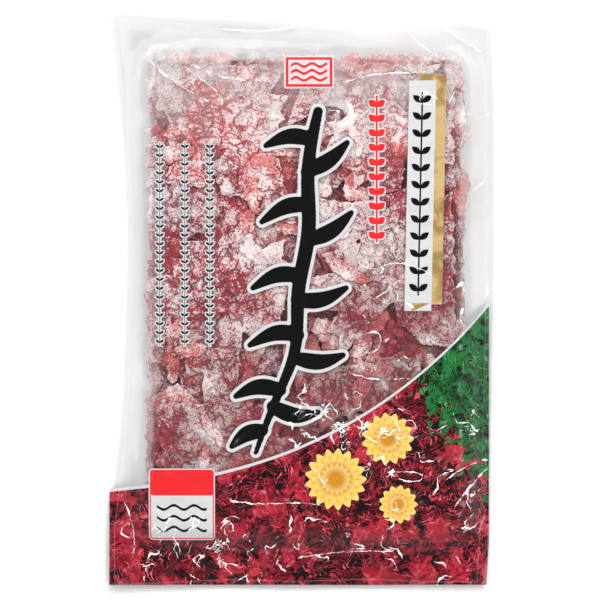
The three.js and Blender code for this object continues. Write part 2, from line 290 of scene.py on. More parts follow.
def rim_sides(sheet):
    """The rim as four runs of points: bottom and top from the left, left and right from the foot."""
    rim = [edge for edge in sheet.edges if edge.is_boundary]
    walk = [rim[0].verts[0]]
    last = None
    while last is None or walk[-1] is not walk[0]:
        edge = next(e for e in walk[-1].link_edges if e.is_boundary and e is not last)
        walk.append(edge.other_vert(walk[-1]))
        last = edge
    loop = np.array([vert.co[:2] for vert in walk[:-1]])
    corners = [np.argmax(loop @ way) for way in ((-1, -1), (1, -1), (1, 1), (-1, 1))]

    def run(start, end):
        count = (end - start) % len(loop)
        if count > len(loop) / 2:
            count -= len(loop)
        steps = range(0, count + (1 if count > 0 else -1), 1 if count > 0 else -1)
        return loop[[(start + step) % len(loop) for step in steps]]

    foot_left, foot_right, head_right, head_left = corners
    return {
        "bottom": run(foot_left, foot_right),
        "right": run(foot_right, head_right),
        "top": run(head_left, head_right),
        "left": run(foot_left, head_left),
    }


def evenly(points, count):
    """Points at even distances along a run, with its kinks eased."""
    lengths = np.concatenate([[0], np.cumsum(np.linalg.norm(np.diff(points, axis=0), axis=1))])
    at = np.linspace(0, lengths[-1], count)
    even = np.stack([np.interp(at, lengths, points[:, axis]) for axis in (0, 1)], axis=1)
    for _ in range(count // 8):
        even[1:-1] = (even[:-2] + 2 * even[1:-1] + even[2:]) / 4
    return even


def laid_grid(sides, across, along):
    """A grid of points that fills the rim, as arrays of x and y with a row for each step up."""
    u = np.linspace(0, 1, across)[None, :, None]
    v = np.linspace(0, 1, along)[:, None, None]
    bottom, top = (evenly(sides[name], across)[None] for name in ("bottom", "top"))
    left, right = (evenly(sides[name], along)[:, None] for name in ("left", "right"))
    grid = (1 - v) * bottom + v * top + (1 - u) * left + u * right
    grid -= (1 - u) * (1 - v) * bottom[:, :1] + u * (1 - v) * bottom[:, -1:]
    grid -= (1 - u) * v * top[:, :1] + u * v * top[:, -1:]
    return grid[..., 0], grid[..., 1]


def heights_on(sheet, x, y, side):
    """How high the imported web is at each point, and eased so that its facets don't show."""
    tree = BVHTree.FromBMesh(sheet)
    heights = np.empty(x.size)
    for i, (px, py) in enumerate(zip(x.ravel(), y.ravel())):
        hit = tree.ray_cast(Vector((px, py, side)), Vector((0, 0, -side)))[0]
        heights[i] = (hit or tree.find_nearest(Vector((px, py, 0)))[0]).z
    return heights.reshape(x.shape)


def eased(field, passes):
    for _ in range(passes):
        wide = np.pad(field, 1, mode="edge")
        field = (wide[1:-1, :-2] + 2 * field + wide[1:-1, 2:]) / 4
        wide = np.pad(field, 1, mode="edge")
        field = (wide[:-2, 1:-1] + 2 * field + wide[2:, 1:-1]) / 4
    return field


def sheet_piece(name, x, y, z, thickness, side):
    """A grid put at the given points and given the film's thickness on its inner side."""
    along, across = x.shape
    bpy.ops.object.select_all(action="DESELECT")
    bpy.ops.mesh.primitive_grid_add(x_subdivisions=across - 1, y_subdivisions=along - 1, size=1)
    piece = bpy.context.object
    piece.name = name
    piece.data.vertices.foreach_set("co", np.stack([x, y, z], axis=-1).ravel())
    if side < 0:
        bpy.ops.object.mode_set(mode="EDIT")
        bpy.ops.mesh.select_all(action="SELECT")
        bpy.ops.mesh.flip_normals()
        bpy.ops.object.mode_set(mode="OBJECT")
    wall = piece.modifiers.new("wall", "SOLIDIFY")
    wall.thickness = thickness
    wall.offset = -1
    bpy.ops.object.modifier_apply(modifier=wall.name)
    bpy.ops.object.shade_smooth()
    return piece


# %% [markdown]
# A crease is a long narrow ridge in the film, with a round top and ends that run out to
# nothing. The big ones follow the creases of the real packet. The small ones are drawn at
# random, with a fixed seed, where film always crumples: in the seals' margins, over the
# block's shoulders, and at the foot of the packet, where it was pressed down. Where film was
# dented from two sides it also has kinks: runs of short sharp folds that change direction.
# Each zone below has its count of kinks, its box in mm and how long their legs are.

# %% Creases of the front web
CREASES = {
    "loop_at_top_left": [
        (148, 59), (160, 73), (182, 88), (199, 97), (213, 105), (222, 106), (227, 102),
        (215, 88), (190, 71), (175, 60),
    ],
    "shoulder_left_of_seal": [(192, 66), (208, 72), (222, 79), (245, 82), (283, 82)],
    "shoulder_right_of_seal": [(334, 83), (352, 82), (365, 75), (390, 73), (440, 72)],
    "top_margin_left": [(223, 28), (265, 35), (300, 25)],
    "top_margin_right": [(404, 28), (429, 52)],
    "top_corner_right": [(446, 29), (480, 50)],
    "right_margin": [(474, 190), (487, 179)],
    "over_strip": [(376, 268), (384, 266), (393, 262), (412, 262), (431, 275)],
    "beside_strip": [(376, 298), (390, 290), (394, 282), (398, 281)],
    "middle_loop": [(362, 335), (378, 327), (383, 337), (380, 348), (372, 357), (359, 350)],
    "over_panel": [(350, 373), (373, 383), (408, 378)],
    "panel_triangle": [(387, 472), (445, 465), (413, 495), (387, 472)],
    "panel_top": [(398, 437), (430, 440), (445, 425)],
    "panel_right": [(447, 478), (466, 463), (486, 460)],
    "panel_right_low": [(455, 505), (470, 482), (487, 470)],
    "panel_foot": [(300, 558), (345, 549), (392, 552)],
    "panel_left": [(125, 505), (138, 530), (133, 556)],
    "panel_middle": [(232, 500), (262, 508), (290, 498), (322, 505)],
}
CREASE_HEIGHT = 0.6 * MM
KINK_HEIGHT = 0.4 * MM
KINKS = {
    "over_flowers": (20, (2, -112, 64, -56), (1.2, 6)),
    "foot": (34, (-92, -146, 92, -112), (1, 5)),
    "panel_right": (7, (62, -112, 94, -36), (1.5, 7)),
    "panel_left": (12, (-94, -138, -34, -104), (1.2, 5)),
    "foot_of_sprig": (26, (-6, -74, 30, -42), (0.8, 4)),
    "beside_strip": (8, (28, -36, 62, 22), (1, 5)),
    "shoulders": (5, (-84, 84, 92, 124), (2.5, 8)),
}
RIPPLES = ((9, 0.8), (4.5, 0.5), (2.6, 0.22))
CREASE_WIDTH = 1.0 * MM
SMALL_CREASES = {
    "foot": (150, (-98, -148, 98, -60), (9, 34), 0.42),
    "right": (60, (20, -70, 96, 60), (7, 24), 0.26),
    "head": (46, (-98, 122, 98, 148), (10, 34), 0.3),
    "left_margin": (36, (-101, -100, -84, 120), (8, 22), 0.3),
    "right_margin": (44, (84, -60, 101, 130), (8, 24), 0.32),
    "all_over": (60, (-85, -70, 85, 120), (10, 30), 0.16),
    "over_panel": (70, (-4, -80, 34, -42), (3, 13), 0.5),
    "beside_strip": (30, (28, -40, 58, 22), (3, 10), 0.4),
    "panel": (100, (-95, -146, 96, -70), (3, 14), 0.42),
}


def add_crease(field, x, y, points, height, width):
    """Adds one ridge along a run of points. Its height fades at both of its ends."""
    points = np.asarray(points)
    steps = np.linalg.norm(np.diff(points, axis=0), axis=1)
    starts = np.concatenate([[0], np.cumsum(steps)])
    reach = 3 * width
    near = (x > points[:, 0].min() - reach) & (x < points[:, 0].max() + reach)
    near &= (y > points[:, 1].min() - reach) & (y < points[:, 1].max() + reach)
    at_x, at_y = x[near], y[near]
    best = np.full(at_x.shape, 1.0)
    where = np.zeros(at_x.shape)
    for start, end, length, before in zip(points[:-1], points[1:], steps, starts):
        way = (end - start) / length
        along = np.clip((at_x - start[0]) * way[0] + (at_y - start[1]) * way[1], 0, length)
        off = np.hypot(at_x - start[0] - along * way[0], at_y - start[1] - along * way[1])
        closer = off < best
        best[closer] = off[closer]
        where[closer] = (before + along)[closer]
    share = where / starts[-1]
    fade = np.clip(np.minimum(share, 1 - share) * 6, 0.15, 1)
    field[near] += height * fade * np.exp(-((best / width) ** 2))


def lattice(x, y, size, seed):
    """Smooth random values from 0 to 1, on a lattice of the given size."""
    random_grid = np.random.default_rng(seed).random((256, 256))
    u, v = x / size + 40, y / size + 40
    i, j = np.floor(u).astype(int), np.floor(v).astype(int)
    fu, fv = u - i, v - j
    fu, fv = fu * fu * (3 - 2 * fu), fv * fv * (3 - 2 * fv)
    corner = [random_grid[(j + b) % 256, (i + a) % 256] for b in (0, 1) for a in (0, 1)]
    low = corner[0] * (1 - fu) + corner[1] * fu
    high = corner[2] * (1 - fu) + corner[3] * fu
    return low * (1 - fv) + high * fv


def small_crease(draw, zone, lengths):
    """A bent run of three points somewhere in a zone given in mm."""
    low_x, low_y, high_x, high_y = zone
    middle = np.array([draw.uniform(low_x, high_x), draw.uniform(low_y, high_y)])
    turn = draw.uniform(0, math.pi)
    half = draw.uniform(*lengths) / 2
    way = np.array([math.cos(turn), math.sin(turn)])
    side = np.array([-way[1], way[0]]) * half * draw.uniform(-0.5, 0.5)
    return np.array([middle - half * way, middle + side, middle + half * way]) * MM


def kinked(draw, zone, legs):
    """A run of a few short legs with sharp turns, from somewhere in a zone given in mm."""
    low_x, low_y, high_x, high_y = zone
    spots = [np.array([draw.uniform(low_x, high_x), draw.uniform(low_y, high_y)])]
    turn = draw.uniform(0, 2 * math.pi)
    for _ in range(draw.randint(2, 4)):
        spots.append(spots[-1] + draw.uniform(*legs) * np.array([math.cos(turn), math.sin(turn)]))
        turn += draw.choice((-1, 1)) * draw.uniform(0.4, 2)
    return np.array(spots) * MM


kink_draw = random.Random(17)
KINK_RUNS = [
    kinked(kink_draw, zone, legs) for count, zone, legs in KINKS.values() for _ in range(count)
]


def rippled(x, y):
    """The lumps that the seaweed presses into the film from below."""
    field = np.zeros(x.shape)
    for size, height in RIPPLES:
        field += height * MM * (lattice(x, y, size * MM, int(10 * size)) - 0.5)
    return field


def crumpled(x, y):
    field = np.zeros(x.shape)
    for points in CREASES.values():
        add_crease(field, x, y, [from_pixel(*p) for p in points], CREASE_HEIGHT, CREASE_WIDTH)
    for run in KINK_RUNS:
        add_crease(field, x, y, run, KINK_HEIGHT, CREASE_WIDTH)
    draw = random.Random(7)
    for count, zone, lengths, height in SMALL_CREASES.values():
        for _ in range(count):
            run = small_crease(draw, zone, lengths)
            tall = height * MM * draw.uniform(0.35, 1) * draw.choice((-1, 1))
            add_crease(field, x, y, run, tall, CREASE_WIDTH * draw.uniform(0.9, 2))
    return field


# %% The front web
FILM = 0.09 * MM
FRONT_GRID = (172, 258)
BACK_GRID = (82, 124)
IN_SEAL = 0.42 * MM
OVER_BLOCK = 0.1 * MM
DOME = 10 * MM

front_sheet = facing_sheet("film_front", 1)
front_sides = rim_sides(front_sheet)
x, y = laid_grid(front_sides, *FRONT_GRID)
z = eased(heights_on(front_sheet, x, y, 1), 6)
raised = np.clip((z - 4 * MM) / DOME, 0, 1)
z -= IN_SEAL + (OVER_BLOCK - IN_SEAL) * raised
z += rippled(x, y) * np.clip(raised * 3, 0.25, 1)
z += crumpled(x, y)
film_front = sheet_piece("film_web_front", x, y, z, FILM, 1)
print("front web:", len(film_front.data.polygons), "faces, top at mm", round(z.max() / MM, 2))

# %% The back web
back_sheet = facing_sheet("film_back", -1)
x, y = laid_grid(rim_sides(back_sheet), *BACK_GRID)
z = eased(heights_on(back_sheet, x, y, -1), 3)
lifted = np.clip(z / MM, 0, 1)
z += lifted * IN_SEAL
creases = np.zeros(x.shape)
draw = random.Random(8)
for _ in range(140):
    run = small_crease(draw, (-100, -150, 100, 145), (10, 40))
    add_crease(creases, x, y, run, draw.uniform(0.1, 0.3) * MM, 2 * MM)
z = np.maximum(z + creases, 0)
film_back = sheet_piece("film_web_back", x, y, z, FILM, -1)
print("back web:", len(film_back.data.polygons), "faces")


# %% [markdown]
# ## The seaweed
# Each packed plant is a tuft of flat, forked blades. Salt draws the water out of the real ones,
# so they shrink, crumple and ruffle at their edges. A copy of each packed plant is rebuilt with
# small even faces and then pushed about by three sizes of cloud noise: broad folds, crumples
# and a fine puckered edge. The form and place stay those of the solid.

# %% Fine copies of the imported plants
PLANTS = sorted(name for name in frame["nodes"] if name.startswith("plant"))
DRIFTS = sorted(name for name in frame["nodes"] if name.startswith("salt"))
TOP_LAYER = max(name.split("_")[1] for name in PLANTS)
BOTTOM_LAYER = min(name.split("_")[1] for name in PLANTS)
FINE = 0.72 * MM
MIDDLING = 1.1 * MM
COARSE = 1.9 * MM
CRUMPLES = {"fold": (13 * MM, 1.5 * MM), "crumple": (5 * MM, 1.7 * MM), "pucker": (1.9 * MM, 0.7 * MM)}


def cloud(name, size):
    texture = bpy.data.textures.new(name, "CLOUDS")
    texture.cloud_type = "COLOR"
    texture.noise_scale = size
    texture.noise_depth = 1
    return texture


CLOUDS = {name: (cloud(name, size), push) for name, (size, push) in CRUMPLES.items()}


def apply_modifier(piece, kind, **settings):
    modifier = piece.modifiers.new(kind.lower(), kind)
    for key, setting in settings.items():
        setattr(modifier, key, setting)
    select_only(piece)
    bpy.ops.object.modifier_apply(modifier=modifier.name)


def fine_copy(node, voxel):
    """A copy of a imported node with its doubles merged, rebuilt from small even faces."""
    piece = bpy.data.objects.new(node + "_fine", frame["nodes"][node].data.copy())
    piece.data.materials.clear()
    bpy.context.scene.collection.objects.link(piece)
    select_only(piece)
    bpy.ops.object.mode_set(mode="EDIT")
    bpy.ops.mesh.select_all(action="SELECT")
    bpy.ops.mesh.remove_doubles(threshold=0.01 * MM)
    bpy.ops.object.mode_set(mode="OBJECT")
    apply_modifier(piece, "REMESH", mode="VOXEL", voxel_size=voxel)
    return piece


def crumple(piece, share=1.0):
    for texture, push in CLOUDS.values():
        apply_modifier(
            piece, "DISPLACE", texture=texture, texture_coords="LOCAL", mid_level=0.5,
            direction="RGB_TO_XYZ", strength=push * share,
        )
    select_only(piece)
    bpy.ops.object.shade_smooth()


def points_of(piece):
    points = np.empty(len(piece.data.vertices) * 3)
    piece.data.vertices.foreach_get("co", points)
    return points.reshape(-1, 3)


def put_points(piece, points):
    piece.data.vertices.foreach_set("co", points.ravel())
    piece.data.update()


# %% [markdown]
# The seaweed was sealed in under suction, so the film presses on it. The pack must hold it: no
# plant may reach through the film. So the front web's inner height is read on a grid, as a
# roof. What would rise above the roof is bent down by a soft minimum, which leaves flat faces
# with round shoulders, as pressing does. Plants stop a little lower, to leave room for frills.

# %% The film as a roof over the block
CLEAR_OF_FILM = 0.35 * MM
ROOF_STEP = 1.2 * MM
web_low, web_high = points_of(film_front).min(axis=0), points_of(film_front).max(axis=0)
roof_tree = BVHTree.FromObject(film_front, bpy.context.evaluated_depsgraph_get())
roof_x = np.arange(web_low[0], web_high[0], ROOF_STEP)
roof_y = np.arange(web_low[1], web_high[1], ROOF_STEP)
roof = np.zeros((len(roof_y), len(roof_x)))
for j, py in enumerate(roof_y):
    for i, px in enumerate(roof_x):
        hit = roof_tree.ray_cast(Vector((px, py, 0)), Vector((0, 0, 1)))[0]
        roof[j, i] = hit.z if hit else 0
lowest_near = roof.copy()
for shift_y in (-1, 0, 1):
    for shift_x in (-1, 0, 1):
        lowest_near = np.minimum(lowest_near, np.roll(roof, (shift_y, shift_x), axis=(0, 1)))


def kept_under_film(points, soft=0.25 * MM, clear=CLEAR_OF_FILM):
    """Presses flat what would reach through the film, as the film itself does."""
    i = np.clip(((points[:, 0] - roof_x[0]) / ROOF_STEP + 0.5).astype(int), 0, len(roof_x) - 1)
    j = np.clip(((points[:, 1] - roof_y[0]) / ROOF_STEP + 0.5).astype(int), 0, len(roof_y) - 1)
    room = lowest_near[j, i] - clear - points[:, 2]
    points[:, 2] += room - soft * np.logaddexp(0, room / soft)
    return points


print("roof from", round(web_low[2] / MM, 1), "to", round(web_high[2] / MM, 1), "mm")

# %% Fine plants, pressed up against the film
LOWEST = 0.25 * MM
SWOLLEN = 0.9 * MM
PRESSED_SOFT = 0.5 * MM
ROOM_FOR_FRILLS = 1.15 * MM
plants = {}
for node in PLANTS:
    layer = node.split("_")[1]
    voxel = FINE if layer == TOP_LAYER else MIDDLING if layer == BOTTOM_LAYER else COARSE
    piece = fine_copy(node, voxel)
    crumple(piece)
    points = points_of(piece)
    if layer == TOP_LAYER:
        points[:, 2] += SWOLLEN
    points = kept_under_film(points, PRESSED_SOFT, ROOM_FOR_FRILLS)
    points[:, 2] = np.maximum(points[:, 2], LOWEST)
    put_points(piece, points)
    plants[node] = piece
triangles = sum(2 * len(piece.data.polygons) for piece in plants.values())
print("fine plants:", len(plants), "with about", triangles, "triangles")

# %% [markdown]
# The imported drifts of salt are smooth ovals. The real ones are crusts that crumble at the rim
# and run into the tissue beside them. So each fine copy first spills outwards a little and is
# then pushed about by the same clouds as the plants.

# %% Caked drifts
SPILL = 1.6 * MM
drifts = {}
for node in DRIFTS:
    piece = fine_copy(node, 0.55 * MM)
    points = points_of(piece)
    away = (points - points.mean(axis=0))[:, :2]
    points[:, :2] += SPILL * away / np.linalg.norm(away, axis=1)[:, None]
    put_points(piece, points)
    crumple(piece, 1.3)
    put_points(piece, kept_under_film(points_of(piece), PRESSED_SOFT, ROOM_FOR_FRILLS))
    drifts[node] = piece
print("drifts:", {node: len(piece.data.polygons) for node, piece in drifts.items()})

# %% [markdown]
# ## What grows and what lies on the block
# The frills, the loose blades and the salt all sit on the block, so their heights are read
# from the fine plants and drifts themselves. The map below holds, every 0.8 mm, how high the
# block is there and which plant lies uppermost.

# %% A map of the block's upper face
MAP_STEP = 0.8 * MM
block_low = np.min([points_of(piece).min(axis=0) for piece in plants.values()], axis=0)
block_high = np.max([points_of(piece).max(axis=0) for piece in plants.values()], axis=0)


def joined_tree(pieces):
    """One search tree over several pieces, and the number of faces up to each piece."""
    points, faces, ends = [], [], []
    start = 0
    for piece in pieces:
        points.extend(map(tuple, points_of(piece)))
        faces.extend(tuple(v + start for v in face.vertices) for face in piece.data.polygons)
        start = len(points)
        ends.append(len(faces))
    return BVHTree.FromPolygons(points, faces), np.array(ends)


def face_map(pieces):
    """Heights over the block, and which piece is uppermost, both as grids."""
    tree, ends = joined_tree(pieces)
    columns = np.arange(block_low[0], block_high[0], MAP_STEP)
    rows = np.arange(block_low[1], block_high[1], MAP_STEP)
    heights = np.full((len(rows), len(columns)), np.nan)
    owners = np.full(heights.shape, -1)
    for j, py in enumerate(rows):
        for i, px in enumerate(columns):
            place, _, face, _ = tree.ray_cast(Vector((px, py, 1)), Vector((0, 0, -1)))
            if place is not None:
                heights[j, i] = place.z
                owners[j, i] = np.searchsorted(ends, face, side="right")
    return heights, owners


def map_index(px, py):
    return int((py - block_low[1]) / MAP_STEP + 0.5), int((px - block_low[0]) / MAP_STEP + 0.5)


def height_at(px, py, ground):
    j, i = map_index(px, py)
    if not (0 <= j < ground.shape[0] and 0 <= i < ground.shape[1]):
        return math.nan
    return ground[j, i]


heights, owners = face_map([*plants.values(), *drifts.values()])
print("share of the block's box that is covered:", round(float(np.mean(owners >= 0)), 3))

# %% [markdown]
# Salt is thinned in the hollows between lumps, so the hollows show dark red tissue and the high
# places white: painted shade in the recesses. What counts as a hollow is measured from the brow:
# the greatest height within a few millimetres, smoothed. On the underside it is measured from the
# surface that the packet lies on.

# %% How high the block is round each place
BROW_REACH = 4


def highest_near(field, reach):
    """The greatest value within so many steps of each place."""
    for axis in (0, 1):
        field = np.max([np.roll(field, step, axis=axis) for step in range(-reach, reach + 1)], axis=0)
    return field


known = np.nan_to_num(heights, nan=0.0)
brow = eased(highest_near(known, BROW_REACH), BROW_REACH)
print("mean depth below the brow, mm:", round(float(np.mean(brow - known)) / MM, 2))

# %% [markdown]
# Salt lies in clumps, thicker towards the top seal and on the right. The clumps are a field
# over the block, reckoned here once, because three things follow it: the frost on the plants,
# the loose grains, and how many frills stand clear.

# %% The field of salt
SALT_SEED = 11
HOLLOW_DEPTH = 3 * MM
HOLLOW_SHADE = 0.42
SHADE_FADE_AT_EDGE = 9 * MM


def salt_field(x, y):
    """How much salt lies at each point, about 0 to 1."""
    bent = x + 5 * MM * (lattice(x, y, 9 * MM, SALT_SEED) - 0.5)
    field = 0.46 * lattice(bent, y, 24 * MM, SALT_SEED + 4)
    field += 0.36 * lattice(bent, y, 11 * MM, SALT_SEED + 1)
    field += 0.26 * lattice(x, bent * 0.3 + y, 5 * MM, SALT_SEED + 2)
    field += 0.16 * lattice(x, y, 2.4 * MM, SALT_SEED + 3)
    field += 0.12 * np.clip((y - 80 * MM) / (36 * MM), 0, 1)
    field += 0.2 * np.exp(-((x - 8 * MM) / (36 * MM)) ** 2 - ((y - 12 * MM) / (44 * MM)) ** 2)
    return field + 0.1 * np.clip((x - 66 * MM) / (12 * MM), 0, 1)


def mark_points(piece, name, values):
    attribute = piece.data.attributes.new(name, "FLOAT", "POINT")
    attribute.data.foreach_set("value", np.asarray(values, dtype=np.float32))


def salted(piece):
    """Marks the points of a piece with the salt on them, less in hollows as painted shade."""
    points = points_of(piece)
    cells = ((points[:, :2] - block_low[:2]) / MAP_STEP + 0.5).astype(int)
    columns, rows = (np.clip(cells[:, k], 0, known.shape[1 - k] - 1) for k in (0, 1))
    depth = np.minimum(brow[rows, columns] - points[:, 2], points[:, 2])
    # Painted shade: the deeper a point lies below the brow, the less salt it gets, so recesses show
    # dark tissue. Near the block's rim this fades out.
    hollow_shade = np.clip(depth / HOLLOW_DEPTH, 0, 1)
    inset = np.minimum(points[:, :2] - block_low[:2], block_high[:2] - points[:, :2]).min(axis=1)
    hollow_shade *= np.clip(inset / SHADE_FADE_AT_EDGE, 0.2, 1)
    mark_points(piece, "salt", salt_field(points[:, 0], points[:, 1]) - HOLLOW_SHADE * hollow_shade)


for piece in (*plants.values(), *drifts.values()):
    salted(piece)

# %% [markdown]
# ## Frills
# Red tosaka is named for a cock's comb: its blades are edged with small standing frills. Pressed
# under film they show as fine dark curling lines. One frill is modelled straight, as a strip
# that is given a thickness and a rounded crest. Each copy is then bent along a wandering run.

# %% One straight frill
FRILL_STEPS = 7


def template(piece):
    """The points and faces of a modelled piece, which is then removed."""
    points = points_of(piece).copy()
    faces = [tuple(face.vertices) for face in piece.data.polygons]
    bpy.data.objects.remove(piece)
    return points, faces


bpy.ops.object.select_all(action="DESELECT")
bpy.ops.mesh.primitive_grid_add(x_subdivisions=FRILL_STEPS, y_subdivisions=1, size=1)
frill = bpy.context.object
bpy.ops.object.mode_set(mode="EDIT")
bpy.ops.mesh.select_all(action="SELECT")
bpy.ops.transform.rotate(value=math.pi / 2, orient_axis="X", center_override=(0, 0, 0))
bpy.ops.object.mode_set(mode="OBJECT")
apply_modifier(frill, "SOLIDIFY", thickness=1.0, offset=0)
frill_points, frill_faces = template(frill)
frill_points /= np.ptp(frill_points, axis=0)
frill_points[:, 2] += 0.5
crest = 1 - 0.75 * np.abs(2 * frill_points[:, 0]) ** 4
frill_points[:, 2] *= crest
frill_points[:, 1] *= 1.25 - 0.5 * frill_points[:, 2]
print("one frill:", len(frill_points), "points,", len(frill_faces), "faces")


# %% Many bent frills
def run_of(draw, px, py, length, wander):
    """A wandering run as 24 points, centred on a place, and its direction at each point."""
    steps = np.linspace(0, 1, 24)
    waves = draw.uniform(0.5, 1.6)
    turn = draw.uniform(0, 2 * math.pi)
    way = turn + wander * np.sin(2 * math.pi * waves * steps + draw.uniform(0, 6))
    run_x = np.concatenate([[0], np.cumsum(np.cos(way[1:]))]) * length / 23
    run_y = np.concatenate([[0], np.cumsum(np.sin(way[1:]))]) * length / 23
    return steps, run_x - run_x.mean() + px, run_y - run_y.mean() + py, way


def bent(shape, run, thick, tall, sunk, ground=heights):
    """The shape's points laid along a run and standing on the block, or None off the block."""
    steps, run_x, run_y, way = run
    share = shape[:, 0] + 0.5
    turn = np.interp(share, steps, way)
    across = shape[:, 1] * thick
    px = np.interp(share, steps, run_x) - np.sin(turn) * across
    py = np.interp(share, steps, run_y) + np.cos(turn) * across
    stations = np.linspace(0, 23, 5).astype(int)
    levels = np.array([height_at(run_x[k], run_y[k], ground) for k in stations])
    if np.isnan(levels).any():
        return None
    base = np.interp(share, steps[stations], levels)
    pz = base + (shape[:, 2] - sunk) * tall
    return np.stack([px, py, pz], axis=1)


def gathered(name, parts):
    """One mesh from many lists of points and the faces on them."""
    points, faces = [], []
    start = 0
    for part_points, part_faces in parts:
        points.append(part_points)
        faces.extend(tuple(v + start for v in face) for face in part_faces)
        start += len(part_points)
    mesh = bpy.data.meshes.new(name)
    mesh.from_pydata(np.concatenate(points).tolist(), [], faces)
    piece = bpy.data.objects.new(name, mesh)
    bpy.context.scene.collection.objects.link(piece)
    select_only(piece)
    bpy.ops.object.mode_set(mode="EDIT")
    bpy.ops.mesh.select_all(action="SELECT")
    bpy.ops.mesh.normals_make_consistent(inside=False)
    bpy.ops.object.mode_set(mode="OBJECT")
    return piece


# %% Frills over the block
def grown_frills(count, seed):
    """Frills scattered over the block, gathered for each plant that they grow on."""
    draw = random.Random(seed)
    grown = {node: [] for node in PLANTS}
    last = PLANTS[-1]
    for _ in range(count):
        px = draw.uniform(block_low[0], block_high[0])
        py = draw.uniform(block_low[1], block_high[1])
        length = draw.uniform(4, 17) * MM
        thick, tall = draw.uniform(0.4, 0.75) * MM, draw.uniform(1.3, 2.2) * MM
        run = run_of(draw, px, py, length, draw.uniform(0.4, 1.6))
        points = bent(frill_points, run, thick, tall, 0.3)
        if points is None or math.isnan(height_at(px, py, heights)):
            continue
        owner = owners[map_index(px, py)]
        last = PLANTS[owner] if owner < len(PLANTS) else last
        grown[last].append((kept_under_film(points), frill_faces))
    return {node: gathered(node + "_frills", parts) for node, parts in grown.items() if parts}


FRILLS_TRIED = 2300
frills = grown_frills(FRILLS_TRIED, 21)
print("frilled plants on top:", len(frills))
for piece in frills.values():
    salted(piece)

# %% [markdown]
# ## Loose blades
# Here and there a smooth young blade lies flat on the tangle and shows a broad coral face. One
# blade is modelled as a lens-shaped strip with a thickness, and copies of it are bent and laid.
# Pressing also draws blades over the deep gaps between plants. So more copies are laid over the
# deepest pits, one after the other, at the height of the brow round each pit.

# %% Coral blades
bpy.ops.object.select_all(action="DESELECT")
bpy.ops.mesh.primitive_grid_add(x_subdivisions=11, y_subdivisions=2, size=1)
blade = bpy.context.object
apply_modifier(blade, "SOLIDIFY", thickness=0.25, offset=0)
blade_points, blade_faces = template(blade)
blade_along, blade_across = blade_points[:, 0].copy(), blade_points[:, 1].copy()
lens = np.sqrt(np.clip(1 - (1.9 * blade_points[:, 0]) ** 2, 0.02, 1))
blade_points[:, 1] *= lens * (1 + 0.25 * np.sin(23 * blade_points[:, 0]))
blade_points[:, 2] += 0.9 * blade_points[:, 1] ** 2
BLADE_COUNT = 40
draw = random.Random(31)
parts = []
while len(parts) < BLADE_COUNT:
    px = draw.uniform(block_low[0], block_high[0])
    py = draw.uniform(block_low[1], block_high[1])
    run = run_of(draw, px, py, draw.uniform(12, 32) * MM, draw.uniform(0.1, 0.6))
    wide = draw.uniform(4, 10) * MM
    points = bent(blade_points, run, wide, 2 * MM, -0.6)
    if points is not None:
        parts.append((kept_under_film(points), blade_faces))

# %% Blades that bridge the deepest pits
PIT_COUNT = 60
PIT_REACH = 6
BRIDGE_SUNK = 0.8
INSIDE = 5
bridged = highest_near(known, PIT_REACH)
depth = bridged - known
depth[:INSIDE], depth[-INSIDE:], depth[:, :INSIDE], depth[:, -INSIDE:] = 0, 0, 0, 0
for _ in range(PIT_COUNT):
    j, i = np.unravel_index(np.argmax(depth), depth.shape)
    depth[max(j - 5, 0):j + 6, max(i - 5, 0):i + 6] = 0
    middle = np.array([i, j]) * MAP_STEP + block_low[:2]
    run = run_of(draw, *middle, draw.uniform(13, 21) * MM, draw.uniform(0.1, 0.5))
    points = bent(blade_points, run, draw.uniform(6, 10) * MM, 2 * MM, BRIDGE_SUNK, bridged)
    if points is not None:
        parts.append((kept_under_film(points), blade_faces))
blades = gathered("coral_blades", parts)
shifts = np.repeat(np.arange(len(parts)) * 50.0, len(blade_points))
mark_points(blades, "along", np.tile(blade_along, len(parts)) * 20 + shifts)
mark_points(blades, "across", np.tile(blade_across, len(parts)) * 6)
apply_modifier(blades, "SUBSURF", levels=1, render_levels=1)
crumple(blades, 0.3)
salted(blades)
print("coral blades:", len(parts), "with", len(blades.data.polygons), "faces")

# %% [markdown]
# ## Salt
# Coarse salt grows as small cubes. One grain is a cube with a worn corner. The grains are strewn
# over the block, closest where the field of salt is high.

# %% Grains strewn on the block
bpy.ops.object.select_all(action="DESELECT")
bpy.ops.mesh.primitive_cube_add(size=1)
grain = bpy.context.object
bpy.ops.object.mode_set(mode="EDIT")
bpy.ops.mesh.select_all(action="DESELECT")
corner_mesh = bmesh.from_edit_mesh(grain.data)
max(corner_mesh.verts, key=lambda vert: sum(vert.co)).select = True
bmesh.update_edit_mesh(grain.data)
bpy.ops.mesh.bevel(offset=0.35, affect="VERTICES")
bpy.ops.object.mode_set(mode="OBJECT")
grain_points, grain_faces = template(grain)


def turned(angles, points):
    """The points turned about z, x and y."""
    (ca, cb, cc), (sa, sb, sc) = np.cos(angles), np.sin(angles)
    about_z = np.array([[ca, -sa, 0], [sa, ca, 0], [0, 0, 1]])
    about_x = np.array([[1, 0, 0], [0, cb, -sb], [0, sb, cb]])
    about_y = np.array([[cc, 0, sc], [0, 1, 0], [-sc, 0, cc]])
    return points @ (about_z @ about_x @ about_y).T


def strewn(name, tried, seed):
    """Grains on the block. A place is kept more often where the salt lies thick."""
    draw = np.random.default_rng(seed)
    places = draw.uniform(block_low[:2], block_high[:2], (tried, 2))
    keep = draw.random(tried) < np.clip((salt_field(*places.T) - 0.25) * 1.6, 0, 1) ** 2
    parts = []
    for px, py in places[keep]:
        ground = height_at(px, py, heights)
        size = draw.uniform(*GRAIN_SIZES) * MM
        angles = draw.uniform(0, 2 * math.pi, 3)
        if math.isnan(ground):
            continue
        middle = np.array([px, py, ground + size * 0.2])
        points = turned(angles, grain_points) * size + middle
        parts.append((kept_under_film(points), grain_faces))
    piece = gathered(name, parts)
    print(name, "holds", len(parts), "grains")
    return piece


